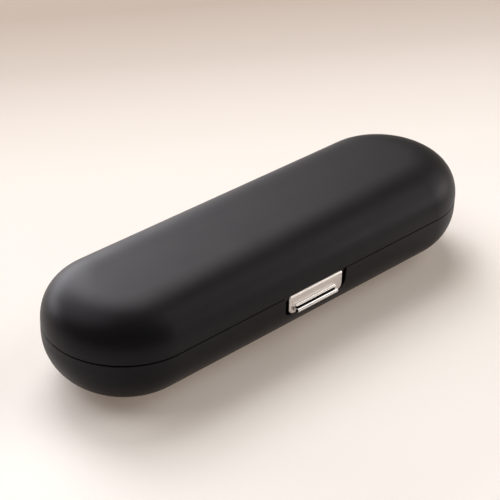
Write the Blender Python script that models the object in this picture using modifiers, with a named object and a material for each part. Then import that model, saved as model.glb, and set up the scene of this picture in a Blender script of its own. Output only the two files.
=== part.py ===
"""Travel case for an electric toothbrush and two spare brush heads.

A capsule-shaped clamshell: a deep base with a round-bottomed section, a lid whose shoulder rounds up to a
nearly flat top, a hinge on two pins at the back, and a sprung metal latch flap that hangs from the lid's
front rim and snaps into a pocket of the base. A moulded tray holds the handle and the brush heads.

X runs along the case, the latch faces -Y, the hinge is at +Y, and the case stands on Z = 0.
"""

import math

import bmesh
import bpy
from mathutils import Matrix, Vector

MM = 0.001

# Overall form
CASE_LENGTH = 220 * MM
CASE_WIDTH = 68 * MM
SEAM_HEIGHT = 25.9 * MM
LID_RISE = 19.3 * MM
WALL = 2.2 * MM
BASE_CORNER_RADIUS = 22 * MM
TOP_FLAT_HALF_WIDTH = 10 * MM
TOP_CROWN = 0.1 * MM
SHOULDER_EXPONENT = 2.4
SEAM_GAP = 0.4 * MM
RIM_ROUND = 0.35 * MM

# Clearances
SEAT_GAP = 0.3 * MM
PIN_GAP = 0.2 * MM
OVERRUN = 2 * MM
MERGE_DISTANCE = 0.01 * MM

# Hinge at the back
HINGE_STATION = 38 * MM
KNUCKLE_RADIUS = 1.7 * MM
HINGE_STAND_OFF = 0.9 * MM
HINGE_PIN_RADIUS = 0.75 * MM
BASE_KNUCKLE_WIDTH = 7 * MM
LID_KNUCKLE_WIDTH = 9.4 * MM
KNUCKLE_GAP = 0.3 * MM
KNUCKLE_WEB_HEIGHT = 6 * MM
KNUCKLE_ROOT_DEPTH = 0.8 * MM
KNUCKLE_WRAP = (25, -215)

# Latch pocket in the base
POCKET_HALF_WIDTH = 18.2 * MM
POCKET_TAPER = 0.9 * MM
POCKET_DROP = 10 * MM
POCKET_CORNER = 3.5 * MM
POCKET_FLOOR_DEPTH = 5 * MM
POCKET_BACK_WALL = 1.8 * MM
POCKET_SIDE_WALL = 1.9 * MM
POCKET_LEDGE = 1.7 * MM
BLOCK_ROOT_DEPTH = 1.8 * MM

# Latch flap
PLATE_HALF_WIDTH = 15.8 * MM
PLATE_THICKNESS = 1.2 * MM
PLATE_RECESS = 0.7 * MM
PLATE_TOP_DROP = 0.4 * MM
PLATE_HEIGHT = 9 * MM
PLATE_CORNER = 3 * MM
PLATE_EDGE = 0.5 * MM
LATCH_AXIS_INSET = 1.5 * MM
LATCH_AXIS_DROP = 1.3 * MM
BARREL_RADIUS = 1.2 * MM
BARREL_INSET = 1 * MM
LATCH_PIN_RADIUS = 0.5 * MM
HOOK_HALF_WIDTH = 4 * MM
HOOK_REACH = 1.2 * MM
HOOK_HEIGHT = 1.2 * MM
HOOK_DROP = 6.5 * MM

# Finger lip on the flap
LIP_HALF_LENGTH = 11.8 * MM
LIP_BEAD_RADIUS = 0.6 * MM
LIP_BEAD_REACH = 0.75 * MM
LIP_BEAD_DROP = 6.2 * MM
LIP_NOSE_RADIUS = 1 * MM
LIP_NOSE_REACH = 1.9 * MM
LIP_NOSE_DROP = 7.9 * MM
LIP_ROOT_DEPTH = 0.5 * MM
LIP_BEAD_WRAP = (90, 240)
LIP_NOSE_WRAP = (80, 270)
LIP_SEAT_GAP = 0.1 * MM
LIP_BEAD_BORE = 0.3 * MM
LIP_NOSE_BORE = 0.55 * MM
LIP_BORE_DEPTH = 2 * MM
RIVET_PLACE = 8 * MM
RIVET_RADIUS = 0.5 * MM
RIVET_HEAD_RADIUS = 1.1 * MM
RIVET_HEAD_HEIGHT = 0.4 * MM
RIVET_CROWN_SHARE = 0.6
RIVET_TIP_DEPTH = 0.4 * MM

# Bracket that carries the flap
BRACKET_THICKNESS = 1 * MM
BRACKET_HEIGHT = 6 * MM
EAR_THICKNESS = 1.2 * MM
EAR_RADIUS = 1.25 * MM
EAR_WRAP = (-60, -270)
LID_BLOCK_DEPTH = 3.4 * MM
LID_BLOCK_HEIGHT = 7.6 * MM
LID_BLOCK_HALF_WIDTH = 18.5 * MM
BRACKET_SCREW_PLACE = 11 * MM
BRACKET_SCREW_RISE = 4.1 * MM

# Torsion spring on the latch pin
SPRING_WIRE_RADIUS = 0.15 * MM
SPRING_MEAN_RADIUS = 0.85 * MM
SPRING_PITCH = 0.85 * MM
SPRING_TURNS = 4
SPRING_LEG = 2.2 * MM
SPRING_BAY_GAP = 0.5 * MM
SPRING_BAY_SKIM = 0.1 * MM

# Spring catch in the pocket
CATCH_THICKNESS = 0.4 * MM
CATCH_HALF_WIDTH = 4 * MM
CATCH_FOOT_HALF_WIDTH = 9.6 * MM
CATCH_FOOT_HEIGHT = 1.9 * MM
CATCH_FOOT_RISE = 0.7 * MM
CATCH_BOW_HEIGHT = 4.8 * MM
CATCH_BOW_REACH = 1.7 * MM
CATCH_SCREW_PLACE = 7.4 * MM

# Screws: head radius, head height, shank radius, shank length
SMALL_SCREW = (1.2 * MM, 0.5 * MM, 0.5 * MM, 1.5 * MM)
BRACKET_SCREW = (1.5 * MM, 0.9 * MM, 0.7 * MM, 3 * MM)
TRAY_SCREW = (2.4 * MM, 1.2 * MM, 1 * MM, 8 * MM)
HEAD_EDGE_SHARE = 0.33

# Tray in the base
TRAY_TOP_DROP = 0.7 * MM
TRAY_FLANGE = 1.6 * MM
TRAY_WALL = 1.4 * MM
TONGUE_RISE = 1.8 * MM
TONGUE_WIDTH = 1.6 * MM
TROUGH_END_MARGIN = 20 * MM
TROUGH_REAR_MARGIN = 3.5 * MM
TROUGH_FLOOR = 8 * MM
TROUGH_LIP = 2.2 * MM
TRAY_MARGIN = 0.5 * MM
TRAY_RIDGE = 6 * MM
HEAD_POCKET_HALF_WIDTH = 8.5 * MM
HEAD_POCKET_END_MARGIN = 30.5 * MM
HEAD_POCKET_FLOOR = 11 * MM
HEAD_POCKET_FILLET = 5 * MM
HEAD_POCKET_CLEARANCE = 3.8 * MM
BOSS_RADIUS = 3 * MM
BOSS_ROOT_DEPTH = 0.6 * MM
END_BOSS_MARGIN = 23 * MM
END_BOSS_OFFSET = 10 * MM

# Liner and pads
LINER_WALL = 1.2 * MM
LINER_RISE = 2.7 * MM
HOLD_PAD_LENGTH = 30 * MM
HOLD_PAD_WIDTH = 16 * MM
HOLD_PAD_HEIGHT = 5 * MM
PAD_INSET = 25 * MM
PAD_CORNER = 1 * MM
CRADLE_PAD_LENGTH = 16 * MM
CRADLE_PAD_THICKNESS = 1.1 * MM
CRADLE_PAD_HALF_ANGLE = 55

# Facets
END_STEPS = 20
POCKET_STEPS = 10
ROUND_SEGMENTS = 16
OUTER_STEPS = 10
INNER_STEPS = 6

# Derived places
HALF_WIDTH = CASE_WIDTH / 2
END_CENTRE = CASE_LENGTH / 2 - HALF_WIDTH
BASE_RIM = SEAM_HEIGHT - SEAM_GAP / 2
BASE_CORNER = min(BASE_CORNER_RADIUS, BASE_RIM - 2 * RIM_ROUND)
BASE_FLAT_HALF_WIDTH = HALF_WIDTH - BASE_CORNER
LID_RIM = SEAM_HEIGHT + SEAM_GAP / 2
HINGE_Y = HALF_WIDTH + HINGE_STAND_OFF
PLATE_FRONT = -(HALF_WIDTH - PLATE_RECESS)
PLATE_BACK = PLATE_FRONT + PLATE_THICKNESS
PLATE_TOP = SEAM_HEIGHT - PLATE_TOP_DROP
LATCH_Y = PLATE_FRONT + LATCH_AXIS_INSET
LATCH_Z = PLATE_TOP - LATCH_AXIS_DROP
POCKET_FLOOR = -(HALF_WIDTH - POCKET_FLOOR_DEPTH)
POCKET_BACK = POCKET_FLOOR + POCKET_BACK_WALL
POCKET_BOTTOM = SEAM_HEIGHT - POCKET_DROP
BRACKET_FRONT = -(HALF_WIDTH - LID_BLOCK_DEPTH) + SEAT_GAP
BRACKET_BACK = BRACKET_FRONT + BRACKET_THICKNESS
BRACKET_LOW = LID_RIM + SEAT_GAP
EAR_INNER = PLATE_HALF_WIDTH + SEAT_GAP
EAR_OUTER = EAR_INNER + EAR_THICKNESS
TRAY_TOP = SEAM_HEIGHT - TRAY_TOP_DROP
TRAY_UNDER = TRAY_TOP - TRAY_FLANGE
TRAY_EDGE = HALF_WIDTH - WALL - SEAT_GAP
HEAD_POCKET_PLACE_Y = POCKET_BACK + SEAT_GAP + TRAY_WALL + TRAY_MARGIN + HEAD_POCKET_HALF_WIDTH
HEAD_POCKET_NEAR_END = BOSS_RADIUS + SEAT_GAP + TRAY_WALL + HEAD_POCKET_CLEARANCE
HEAD_POCKET_FAR_END = CASE_LENGTH / 2 - HEAD_POCKET_END_MARGIN
HEAD_POCKET_PLACE_X = (HEAD_POCKET_NEAR_END + HEAD_POCKET_FAR_END) / 2
TROUGH_FRONT = HEAD_POCKET_PLACE_Y + HEAD_POCKET_HALF_WIDTH + TRAY_RIDGE
TROUGH_REAR = TRAY_EDGE - TROUGH_REAR_MARGIN
TROUGH_RADIUS = (TROUGH_REAR - TROUGH_FRONT) / 2
TROUGH_PLACE = (TROUGH_REAR + TROUGH_FRONT) / 2
TROUGH_FILLET = min(TROUGH_RADIUS, TRAY_TOP - TROUGH_LIP - TROUGH_FLOOR)
TROUGH_STRAIGHT = CASE_LENGTH / 2 - TROUGH_END_MARGIN - TROUGH_RADIUS
PAD_STATION = TROUGH_STRAIGHT - PAD_INSET
FRONT_BOSS_PLACE_Y = HEAD_POCKET_PLACE_Y
END_BOSS_PLACE_X = CASE_LENGTH / 2 - END_BOSS_MARGIN
CATCH_FOOT_LOW = POCKET_BOTTOM + CATCH_FOOT_RISE


def clear_scene():
    for old in list(bpy.data.objects):
        bpy.data.objects.remove(old)


def new_collection(name):
    made = bpy.data.collections.new(name)
    bpy.context.scene.collection.children.link(made)
    return made


def add_object(name, mesh, place=(0, 0, 0)):
    made = bpy.data.objects.new(name, mesh)
    made.location = place
    case_parts.objects.link(made)
    return made


def as_tool(obj):
    """Keeps an operand of a Boolean out of the finished case."""
    case_parts.objects.unlink(obj)
    case_tools.objects.link(obj)
    obj.hide_render = True
    obj.display_type = "WIRE"
    return obj


def combine(target, operand, operation):
    step = target.modifiers.new(operation.lower() + " " + operand.name, "BOOLEAN")
    step.operation = operation
    step.solver = "EXACT"
    step.object = as_tool(operand)
    return target


def cut(target, *operands):
    for operand in operands:
        combine(target, operand, "DIFFERENCE")


def join(target, *operands):
    for operand in operands:
        combine(target, operand, "UNION")


def finish(obj, colour, roughness, metallic=0.0):
    material = bpy.data.materials.new(obj.name)
    material.use_nodes = True
    shader = material.node_tree.nodes["Principled BSDF"]
    shader.inputs["Base Color"].default_value = (*colour, 1)
    shader.inputs["Roughness"].default_value = roughness
    shader.inputs["Metallic"].default_value = metallic
    obj.data.materials.clear()
    obj.data.materials.append(material)
    return obj


def smooth(obj, angle=40):
    obj.data.shade_smooth()
    obj.data.set_sharp_from_angle(angle=math.radians(angle))
    return obj


def arc(centre, radius, start, end, steps):
    """Points on a circle in the profile plane, angles in degrees."""
    angles = [math.radians(start + (end - start) * i / steps) for i in range(steps + 1)]
    return [(centre[0] + radius * math.cos(a), centre[1] + radius * math.sin(a)) for a in angles]


def shoulder(inset, start_height, steps):
    """Lid section from a height above the seam up to the edge of its top flat, a wall's inset inside."""
    rise = LID_RISE - TOP_CROWN - inset
    reach = HALF_WIDTH - inset - TOP_FLAT_HALF_WIDTH
    power = 2 / SHOULDER_EXPONENT
    start = math.asin((start_height / rise) ** (1 / power))
    points = []
    for i in range(steps + 1):
        angle = start + (math.pi / 2 - start) * i / steps
        across = reach * max(math.cos(angle), 0) ** power
        points.append((TOP_FLAT_HALF_WIDTH + across, SEAM_HEIGHT + rise * math.sin(angle) ** power))
    return points


def crown(inset, steps):
    """The lid's gently domed top, from the edge of the flat to the middle."""
    top = SEAM_HEIGHT + LID_RISE - inset
    radii = [TOP_FLAT_HALF_WIDTH * (1 - i / steps) for i in range(1, steps + 1)]
    return [(r, top - TOP_CROWN * (r / TOP_FLAT_HALF_WIDTH) ** 2) for r in radii]


def lid_height(inset, distance):
    """Height of the face an inset inside the lid's outer face, at a distance from the middle line."""
    if distance < TOP_FLAT_HALF_WIDTH:
        return SEAM_HEIGHT + LID_RISE - inset - TOP_CROWN * (distance / TOP_FLAT_HALF_WIDTH) ** 2
    across = (distance - TOP_FLAT_HALF_WIDTH) / (HALF_WIDTH - inset - TOP_FLAT_HALF_WIDTH)
    fall = (1 - across**SHOULDER_EXPONENT) ** (1 / SHOULDER_EXPONENT)
    return SEAM_HEIGHT + (LID_RISE - TOP_CROWN - inset) * fall


def swept(name, profile, half_straight, steps, place=(0, 0, 0)):
    """Carries a (distance, height) profile along one side, round the end and back, and mirrors it."""
    bm = bmesh.new()
    verts = [bm.verts.new((0, -distance, height)) for distance, height in profile]
    for first, second in zip(verts, verts[1:]):
        bm.edges.new((first, second))
    along = Vector((half_straight, 0, 0))
    side = bmesh.ops.extrude_edge_only(bm, edges=bm.edges[:])["geom"]
    bmesh.ops.translate(bm, verts=[v for v in side if isinstance(v, bmesh.types.BMVert)], vec=along)
    rim = [e for e in side if isinstance(e, bmesh.types.BMEdge)]
    rim_verts = [v for v in side if isinstance(v, bmesh.types.BMVert)]
    turned = bmesh.ops.spin(
        bm, geom=rim + rim_verts, cent=along, axis=(0, 0, 1), angle=math.pi, steps=steps
    )["geom_last"]
    last = [e for e in turned if isinstance(e, bmesh.types.BMEdge)]
    back = bmesh.ops.extrude_edge_only(bm, edges=last)["geom"]
    bmesh.ops.translate(bm, verts=[v for v in back if isinstance(v, bmesh.types.BMVert)], vec=-along)
    bmesh.ops.remove_doubles(bm, verts=bm.verts[:], dist=MERGE_DISTANCE)
    bmesh.ops.dissolve_degenerate(bm, edges=bm.edges[:], dist=MERGE_DISTANCE)
    bmesh.ops.recalc_face_normals(bm, faces=bm.faces[:])
    mesh = bpy.data.meshes.new(name)
    bm.to_mesh(mesh)
    bm.free()
    half = add_object(name, mesh, place)
    mirror = half.modifiers.new("other end", "MIRROR")
    mirror.use_axis = (True, False, False)
    mirror.merge_threshold = MERGE_DISTANCE
    return half


def box(name, low, high):
    size = Vector(high) - Vector(low)
    middle = (Vector(high) + Vector(low)) / 2
    bm = bmesh.new()
    bmesh.ops.create_cube(bm, size=1, matrix=Matrix.Diagonal((*size, 1)))
    mesh = bpy.data.meshes.new(name)
    bm.to_mesh(mesh)
    bm.free()
    return add_object(name, mesh, middle)


def cylinder(name, low, high, radius, axis, segments=ROUND_SEGMENTS):
    """A round bar between two points that lie on a line along one of the axes."""
    turn = {"X": Matrix.Rotation(math.pi / 2, 4, "Y"), "Y": Matrix.Rotation(math.pi / 2, 4, "X")}
    bm = bmesh.new()
    bmesh.ops.create_cone(
        bm,
        cap_ends=True,
        segments=segments,
        radius1=radius,
        radius2=radius,
        depth=(Vector(high) - Vector(low)).length,
        matrix=turn.get(axis, Matrix.Identity(4)),
    )
    mesh = bpy.data.meshes.new(name)
    bm.to_mesh(mesh)
    bm.free()
    return add_object(name, mesh, (Vector(high) + Vector(low)) / 2)


def slab(name, outline, start, end, plane):
    """A flat outline given as (Y, Z) and run along X, or as (X, Z) and run along Y."""
    curve = bpy.data.curves.new(name, "CURVE")
    curve.dimensions = "2D"
    curve.fill_mode = "BOTH"
    curve.extrude = abs(end - start) / 2
    spline = curve.splines.new("POLY")
    spline.points.add(len(outline) - 1)
    for point, (u, v) in zip(spline.points, outline):
        point.co = (u, v, 0, 1)
    spline.use_cyclic_u = True
    drawn = bpy.data.objects.new(name + " outline", curve)
    middle = (start + end) / 2
    if plane == "YZ":
        turn = Matrix(((0, 0, 1, middle), (1, 0, 0, 0), (0, 1, 0, 0), (0, 0, 0, 1)))
    else:
        turn = Matrix(((1, 0, 0, 0), (0, 0, -1, middle), (0, 1, 0, 0), (0, 0, 0, 1)))
    drawn.matrix_world = turn
    return to_mesh_object(drawn, name)


def to_mesh_object(drawn, name):
    """Replaces a curve object by a closed mesh object in the same place."""
    case_parts.objects.link(drawn)
    bpy.context.view_layer.update()
    ready = drawn.evaluated_get(bpy.context.evaluated_depsgraph_get())
    mesh = bpy.data.meshes.new_from_object(ready)
    placed = drawn.matrix_world.copy()
    bpy.data.objects.remove(drawn)
    bm = bmesh.new()
    bm.from_mesh(mesh)
    bmesh.ops.remove_doubles(bm, verts=bm.verts[:], dist=MERGE_DISTANCE)
    bmesh.ops.recalc_face_normals(bm, faces=bm.faces[:])
    bm.to_mesh(mesh)
    bm.free()
    made = add_object(name, mesh)
    made.matrix_world = placed
    return made


def turned(name, profile, place, turn):
    """A turned piece whose (radius, height) profile runs down its outer side."""
    mesh = bpy.data.meshes.new(name)
    points = [(radius, 0, height) for radius, height in profile]
    mesh.from_pydata(points, [(i, i + 1) for i in range(len(points) - 1)], [])
    made = add_object(name, mesh, place)
    made.rotation_euler = turn
    screw = made.modifiers.new("turn", "SCREW")
    screw.steps = ROUND_SEGMENTS
    screw.render_steps = ROUND_SEGMENTS
    screw.use_merge_vertices = True
    screw.merge_threshold = MERGE_DISTANCE
    return made


def screw_piece(name, sizes, seat, turn):
    """A round-headed screw whose head rests at its seat and whose shank runs down its own axis."""
    head_radius, head_height, shank_radius, length = sizes
    edge = head_height * HEAD_EDGE_SHARE
    profile = [
        (0, head_height),
        (head_radius - edge, head_height),
        (head_radius, head_height - edge),
        (head_radius, 0),
        (shank_radius, 0),
        (shank_radius, -length + shank_radius),
        (0, -length),
    ]
    piece = turned(name, profile, seat, turn)
    return finish(smooth(piece), (0.36, 0.35, 0.34), 0.35, 1)


def rounded_drop(half_top, half_low, top, low, corner):
    """Front outline of a plate or pocket: straight top, drawn-in sides and rounded lower corners."""
    right = arc((half_low - corner, low + corner), corner, 0, -90, 5)
    left = [(-x, z) for x, z in reversed(right)]
    return [(half_top, top), *right, *left, (-half_top, top)]


def inside_base(height):
    """Distance from the middle line to the base's outer face at a height under its corner's top."""
    drop = max(BASE_CORNER - height, 0)
    return BASE_FLAT_HALF_WIDTH + math.sqrt(BASE_CORNER**2 - drop**2)


def knuckle_outline(up):
    """Section of a hinge knuckle with its web, which runs up onto the lid or down onto the base."""
    way = 1 if up else -1
    start, end = KNUCKLE_WRAP
    round_part = arc((HINGE_Y, SEAM_HEIGHT), KNUCKLE_RADIUS, start * way, end * way, 14)
    root = HALF_WIDTH - KNUCKLE_ROOT_DEPTH
    foot = SEAM_HEIGHT + way * KNUCKLE_WEB_HEIGHT
    return [(root, foot), *round_part, (root, SEAM_HEIGHT + way * KNUCKLE_RADIUS)]


def knuckle_spans():
    """For each hinge station: the lid knuckle's span and the spans of the base knuckles beside it."""
    spans = []
    for station in (-HINGE_STATION, HINGE_STATION):
        lid_span = (station - LID_KNUCKLE_WIDTH / 2, station + LID_KNUCKLE_WIDTH / 2)
        left_end = lid_span[0] - KNUCKLE_GAP
        right_start = lid_span[1] + KNUCKLE_GAP
        left = (left_end - BASE_KNUCKLE_WIDTH, left_end)
        right = (right_start, right_start + BASE_KNUCKLE_WIDTH)
        spans.append((lid_span, (left, right)))
    return spans


def hinge_point(x):
    return Vector((x, HINGE_Y, SEAM_HEIGHT))


def knuckle_relief(shell, span):
    """Cuts the room that a neighbour's knuckle needs in a shell's wall."""
    low, high = hinge_point(span[0] - KNUCKLE_GAP), hinge_point(span[1] + KNUCKLE_GAP)
    cut(shell, cylinder("knuckle relief", low, high, KNUCKLE_RADIUS + SEAT_GAP, "X"))


def pin_bore(shell, span):
    low, high = hinge_point(span[0] - OVERRUN), hinge_point(span[1] + OVERRUN)
    cut(shell, cylinder("pin bore", low, high, HINGE_PIN_RADIUS + PIN_GAP, "X"))


def make_base_shell():
    outer = [(0, 0), *arc((BASE_FLAT_HALF_WIDTH, BASE_CORNER), BASE_CORNER, -90, 0, OUTER_STEPS)]
    rim = arc((HALF_WIDTH - RIM_ROUND, BASE_RIM - RIM_ROUND), RIM_ROUND, 0, 90, 2)
    inner_corner = arc((BASE_FLAT_HALF_WIDTH, BASE_CORNER), BASE_CORNER - WALL, 0, -90, INNER_STEPS)
    inner = [(HALF_WIDTH - WALL, BASE_RIM), *inner_corner, (0, WALL)]
    shell = swept("base_shell", outer + rim + inner, END_CENTRE, END_STEPS)
    add_latch_block(shell)
    for _, base_spans in knuckle_spans():
        for start, end in base_spans:
            join(shell, slab("base knuckle", knuckle_outline(False), start, end, "YZ"))
    for x, y in boss_places():
        root = floor_under(x, y) + WALL - BOSS_ROOT_DEPTH
        low, high = Vector((x, y, root)), Vector((x, y, TRAY_UNDER - SEAT_GAP))
        join(shell, cylinder("tray boss", low, high, BOSS_RADIUS, "Z"))
        hole_low = Vector((x, y, TRAY_TOP - TRAY_SCREW[3] - SEAT_GAP))
        hole_high = Vector((x, y, TRAY_UNDER + OVERRUN))
        cut(shell, cylinder("boss hole", hole_low, hole_high, TRAY_SCREW[2] + PIN_GAP, "Z"))
    for lid_span, base_spans in knuckle_spans():
        knuckle_relief(shell, lid_span)
        for span in base_spans:
            pin_bore(shell, span)
    return finish(smooth(shell), (0.013, 0.012, 0.012), 0.5)


def add_latch_block(shell):
    """Thickens the front wall and sinks the pocket for the latch flap into it."""
    front = -(HALF_WIDTH - BLOCK_ROOT_DEPTH)
    ledge = POCKET_BOTTOM - POCKET_LEDGE
    lower = ledge - (POCKET_BACK - front) / 2
    root = -(inside_base(lower) - WALL / 2)
    back = POCKET_BACK
    outline = [(front, BASE_RIM), (front, ledge), (root, lower), (back, ledge), (back, BASE_RIM)]
    half = POCKET_HALF_WIDTH + POCKET_SIDE_WALL
    join(shell, slab("latch block", outline, -half, half, "YZ"))
    low_half = POCKET_HALF_WIDTH - POCKET_TAPER
    top_half = POCKET_HALF_WIDTH + POCKET_TAPER * OVERRUN / POCKET_DROP
    outline = rounded_drop(top_half, low_half, SEAM_HEIGHT + OVERRUN, POCKET_BOTTOM, POCKET_CORNER)
    cut(shell, slab("latch pocket", outline, -HALF_WIDTH - OVERRUN, POCKET_FLOOR, "XZ"))
    for side in (-1, 1):
        seat = catch_screw_seat(side)
        end = seat + Vector((0, SMALL_SCREW[3] + SEAT_GAP, 0))
        cut(shell, cylinder("catch screw hole", seat, end, SMALL_SCREW[2] + PIN_GAP, "Y"))


def boss_places():
    ends = [(side * END_BOSS_PLACE_X, -END_BOSS_OFFSET) for side in (-1, 1)]
    return [*ends, (0, FRONT_BOSS_PLACE_Y)]


def floor_under(x, y):
    """Height of the base's outer face under a place in the plan."""
    off_middle = math.hypot(max(abs(x) - END_CENTRE, 0), y)
    across = max(off_middle - BASE_FLAT_HALF_WIDTH, 0)
    return BASE_CORNER - math.sqrt(BASE_CORNER**2 - across**2)


def catch_screw_seat(side):
    height = CATCH_FOOT_LOW + CATCH_FOOT_HEIGHT / 2
    return Vector((side * CATCH_SCREW_PLACE, POCKET_FLOOR - SEAT_GAP - CATCH_THICKNESS, height))


def bracket_screw_seat(side):
    return Vector((side * BRACKET_SCREW_PLACE, BRACKET_BACK, LID_RIM + BRACKET_SCREW_RISE))


def make_lid_shell():
    edge = arc((HALF_WIDTH - RIM_ROUND, LID_RIM + RIM_ROUND), RIM_ROUND, -90, 0, 2)
    outer = shoulder(0, 2 * RIM_ROUND, OUTER_STEPS) + crown(0, 2)
    inner = shoulder(WALL, 2 * RIM_ROUND, INNER_STEPS) + crown(WALL, 1)
    profile = [*reversed(inner), (HALF_WIDTH - WALL, LID_RIM), *edge, *outer]
    shell = swept("lid_shell", profile, END_CENTRE, END_STEPS)
    front, back = -(HALF_WIDTH - BLOCK_ROOT_DEPTH), -(HALF_WIDTH - LID_BLOCK_DEPTH)
    low, high = LID_RIM, LID_RIM + LID_BLOCK_HEIGHT
    outline = [(front, low), (back, low), (back, high), (front, high)]
    join(shell, slab("bracket block", outline, -LID_BLOCK_HALF_WIDTH, LID_BLOCK_HALF_WIDTH, "YZ"))
    for side in (-1, 1):
        seat = bracket_screw_seat(side)
        end = seat - Vector((0, BRACKET_SCREW[3] + SEAT_GAP, 0))
        cut(shell, cylinder("bracket screw hole", end, seat, BRACKET_SCREW[2] + PIN_GAP, "Y"))
    for lid_span, base_spans in knuckle_spans():
        join(shell, slab("lid knuckle", knuckle_outline(True), *lid_span, "YZ"))
        for span in base_spans:
            knuckle_relief(shell, span)
        pin_bore(shell, lid_span)
    return finish(smooth(shell), (0.013, 0.012, 0.012), 0.5)


def make_hinge_pins():
    for name, station in (("hinge_pin_left", -HINGE_STATION), ("hinge_pin_right", HINGE_STATION)):
        half = LID_KNUCKLE_WIDTH / 2 + KNUCKLE_GAP + BASE_KNUCKLE_WIDTH
        low, high = hinge_point(station - half), hinge_point(station + half)
        pin = cylinder(name, low, high, HINGE_PIN_RADIUS, "X")
        finish(smooth(pin), (0.55, 0.54, 0.52), 0.3, 1)


def make_base_tray():
    """Moulded tray: a flange with an upstanding tongue, a handle trough and two head pockets."""
    profile = [
        (0, TRAY_UNDER),
        (TRAY_EDGE, TRAY_UNDER),
        (TRAY_EDGE, TRAY_TOP + TONGUE_RISE),
        (TRAY_EDGE - TONGUE_WIDTH, TRAY_TOP + TONGUE_RISE),
        (TRAY_EDGE - TONGUE_WIDTH, TRAY_TOP),
        (0, TRAY_TOP),
    ]
    tray = swept("base_tray", profile, END_CENTRE, END_STEPS)
    middle = TRAY_TOP - TRAY_FLANGE / 2
    above = TRAY_TOP + OVERRUN
    trough = (TROUGH_RADIUS, TROUGH_FLOOR, TROUGH_FILLET, TROUGH_STRAIGHT)
    straight = (HEAD_POCKET_FAR_END - HEAD_POCKET_NEAR_END) / 2 - HEAD_POCKET_HALF_WIDTH
    head = (HEAD_POCKET_HALF_WIDTH, HEAD_POCKET_FLOOR, HEAD_POCKET_FILLET, straight)
    pockets = [
        ("handle trough", trough, (0, TROUGH_PLACE, 0)),
        ("left head pocket", head, (-HEAD_POCKET_PLACE_X, HEAD_POCKET_PLACE_Y, 0)),
        ("right head pocket", head, (HEAD_POCKET_PLACE_X, HEAD_POCKET_PLACE_Y, 0)),
    ]
    for name, sizes, place in pockets:
        join(tray, tray_hollow(name + " outside", sizes, TRAY_WALL, middle, place))
    for name, sizes, place in pockets:
        cut(tray, tray_hollow(name, sizes, 0, above, place))
    half = POCKET_HALF_WIDTH + POCKET_SIDE_WALL + SEAT_GAP
    low = (-half, -HALF_WIDTH, TRAY_UNDER - OVERRUN)
    high = (half, POCKET_BACK + SEAT_GAP, TRAY_TOP + TONGUE_RISE + OVERRUN)
    cut(tray, box("latch block relief", low, high))
    for x, y in boss_places():
        low, high = Vector((x, y, TRAY_UNDER - OVERRUN)), Vector((x, y, TRAY_TOP + OVERRUN))
        cut(tray, cylinder("tray screw hole", low, high, TRAY_SCREW[2] + SEAT_GAP, "Z"))
    finish(smooth(tray), (0.035, 0.035, 0.037), 0.55)
    names = ("tray_screw_left", "tray_screw_right", "tray_screw_front")
    for name, (x, y) in zip(names, boss_places()):
        screw_piece(name, TRAY_SCREW, (x, y, TRAY_TOP + SEAT_GAP / 2), (0, 0, 0))


def tray_hollow(name, sizes, wall, top, place):
    """The hollow of a trough or pocket with rounded lower edges, or with a wall the form round it."""
    half_width, floor, fillet, straight = sizes
    half = half_width + wall
    fillet += wall
    corner = arc((half - fillet, floor - wall + fillet), fillet, -90, 0, 7)
    if half > fillet:
        corner = [(0, floor - wall), *corner]
    else:
        corner[0] = (0, floor - wall)
    return swept(name, [*corner, (half, top), (0, top)], straight, POCKET_STEPS, place)


def make_cradle_pads():
    outer_radius = TROUGH_FILLET - SEAT_GAP
    centre = (TROUGH_PLACE, TROUGH_FLOOR + TROUGH_FILLET)
    start, end = -90 - CRADLE_PAD_HALF_ANGLE, -90 + CRADLE_PAD_HALF_ANGLE
    outline = arc(centre, outer_radius, start, end, 12)
    outline += arc(centre, outer_radius - CRADLE_PAD_THICKNESS, end, start, 12)
    for name, station in (("cradle_pad_left", -PAD_STATION), ("cradle_pad_right", PAD_STATION)):
        half = CRADLE_PAD_LENGTH / 2
        pad = slab(name, outline, station - half, station + half, "YZ")
        finish(smooth(pad), (0.06, 0.06, 0.062), 0.8)


def make_lid_liner():
    outside = WALL + SEAT_GAP
    inside = outside + LINER_WALL
    outer = shoulder(outside, LINER_RISE, INNER_STEPS) + crown(outside, 1)
    inner = shoulder(inside, LINER_RISE, INNER_STEPS) + crown(inside, 1)
    liner = swept("lid_liner", [*reversed(inner), *outer], END_CENTRE, END_STEPS)
    half = LID_BLOCK_HALF_WIDTH + SEAT_GAP
    low = (-half, -HALF_WIDTH, SEAM_HEIGHT)
    back = BRACKET_BACK + BRACKET_SCREW[1] + SEAT_GAP
    high = (half, back, LID_RIM + LID_BLOCK_HEIGHT + SEAT_GAP)
    cut(liner, box("bracket relief", low, high))
    finish(smooth(liner), (0.03, 0.03, 0.032), 0.75)


def make_hold_down_pads():
    """Foam pads glued under the liner: the top follows the liner's face, and the free face is flat."""
    inset = WALL + SEAT_GAP + LINER_WALL + SEAT_GAP
    near, far = TROUGH_PLACE - HOLD_PAD_WIDTH / 2, TROUGH_PLACE + HOLD_PAD_WIDTH / 2
    free_face = lid_height(inset, TROUGH_PLACE) - HOLD_PAD_HEIGHT
    steps = 8
    outline = [(near, free_face), (far, free_face)]
    for i in range(steps + 1):
        across = far + (near - far) * i / steps
        outline.append((across, lid_height(inset, across)))
    for name, station in (("hold_down_pad_left", -PAD_STATION), ("hold_down_pad_right", PAD_STATION)):
        half = HOLD_PAD_LENGTH / 2
        pad = slab(name, outline, station - half, station + half, "YZ")
        round_off = pad.modifiers.new("soft edges", "BEVEL")
        round_off.width = PAD_CORNER
        round_off.segments = 3
        round_off.limit_method = "ANGLE"
        finish(pad, (0.045, 0.045, 0.047), 0.9)


def latch_point(x):
    return Vector((x, LATCH_Y, LATCH_Z))


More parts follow.
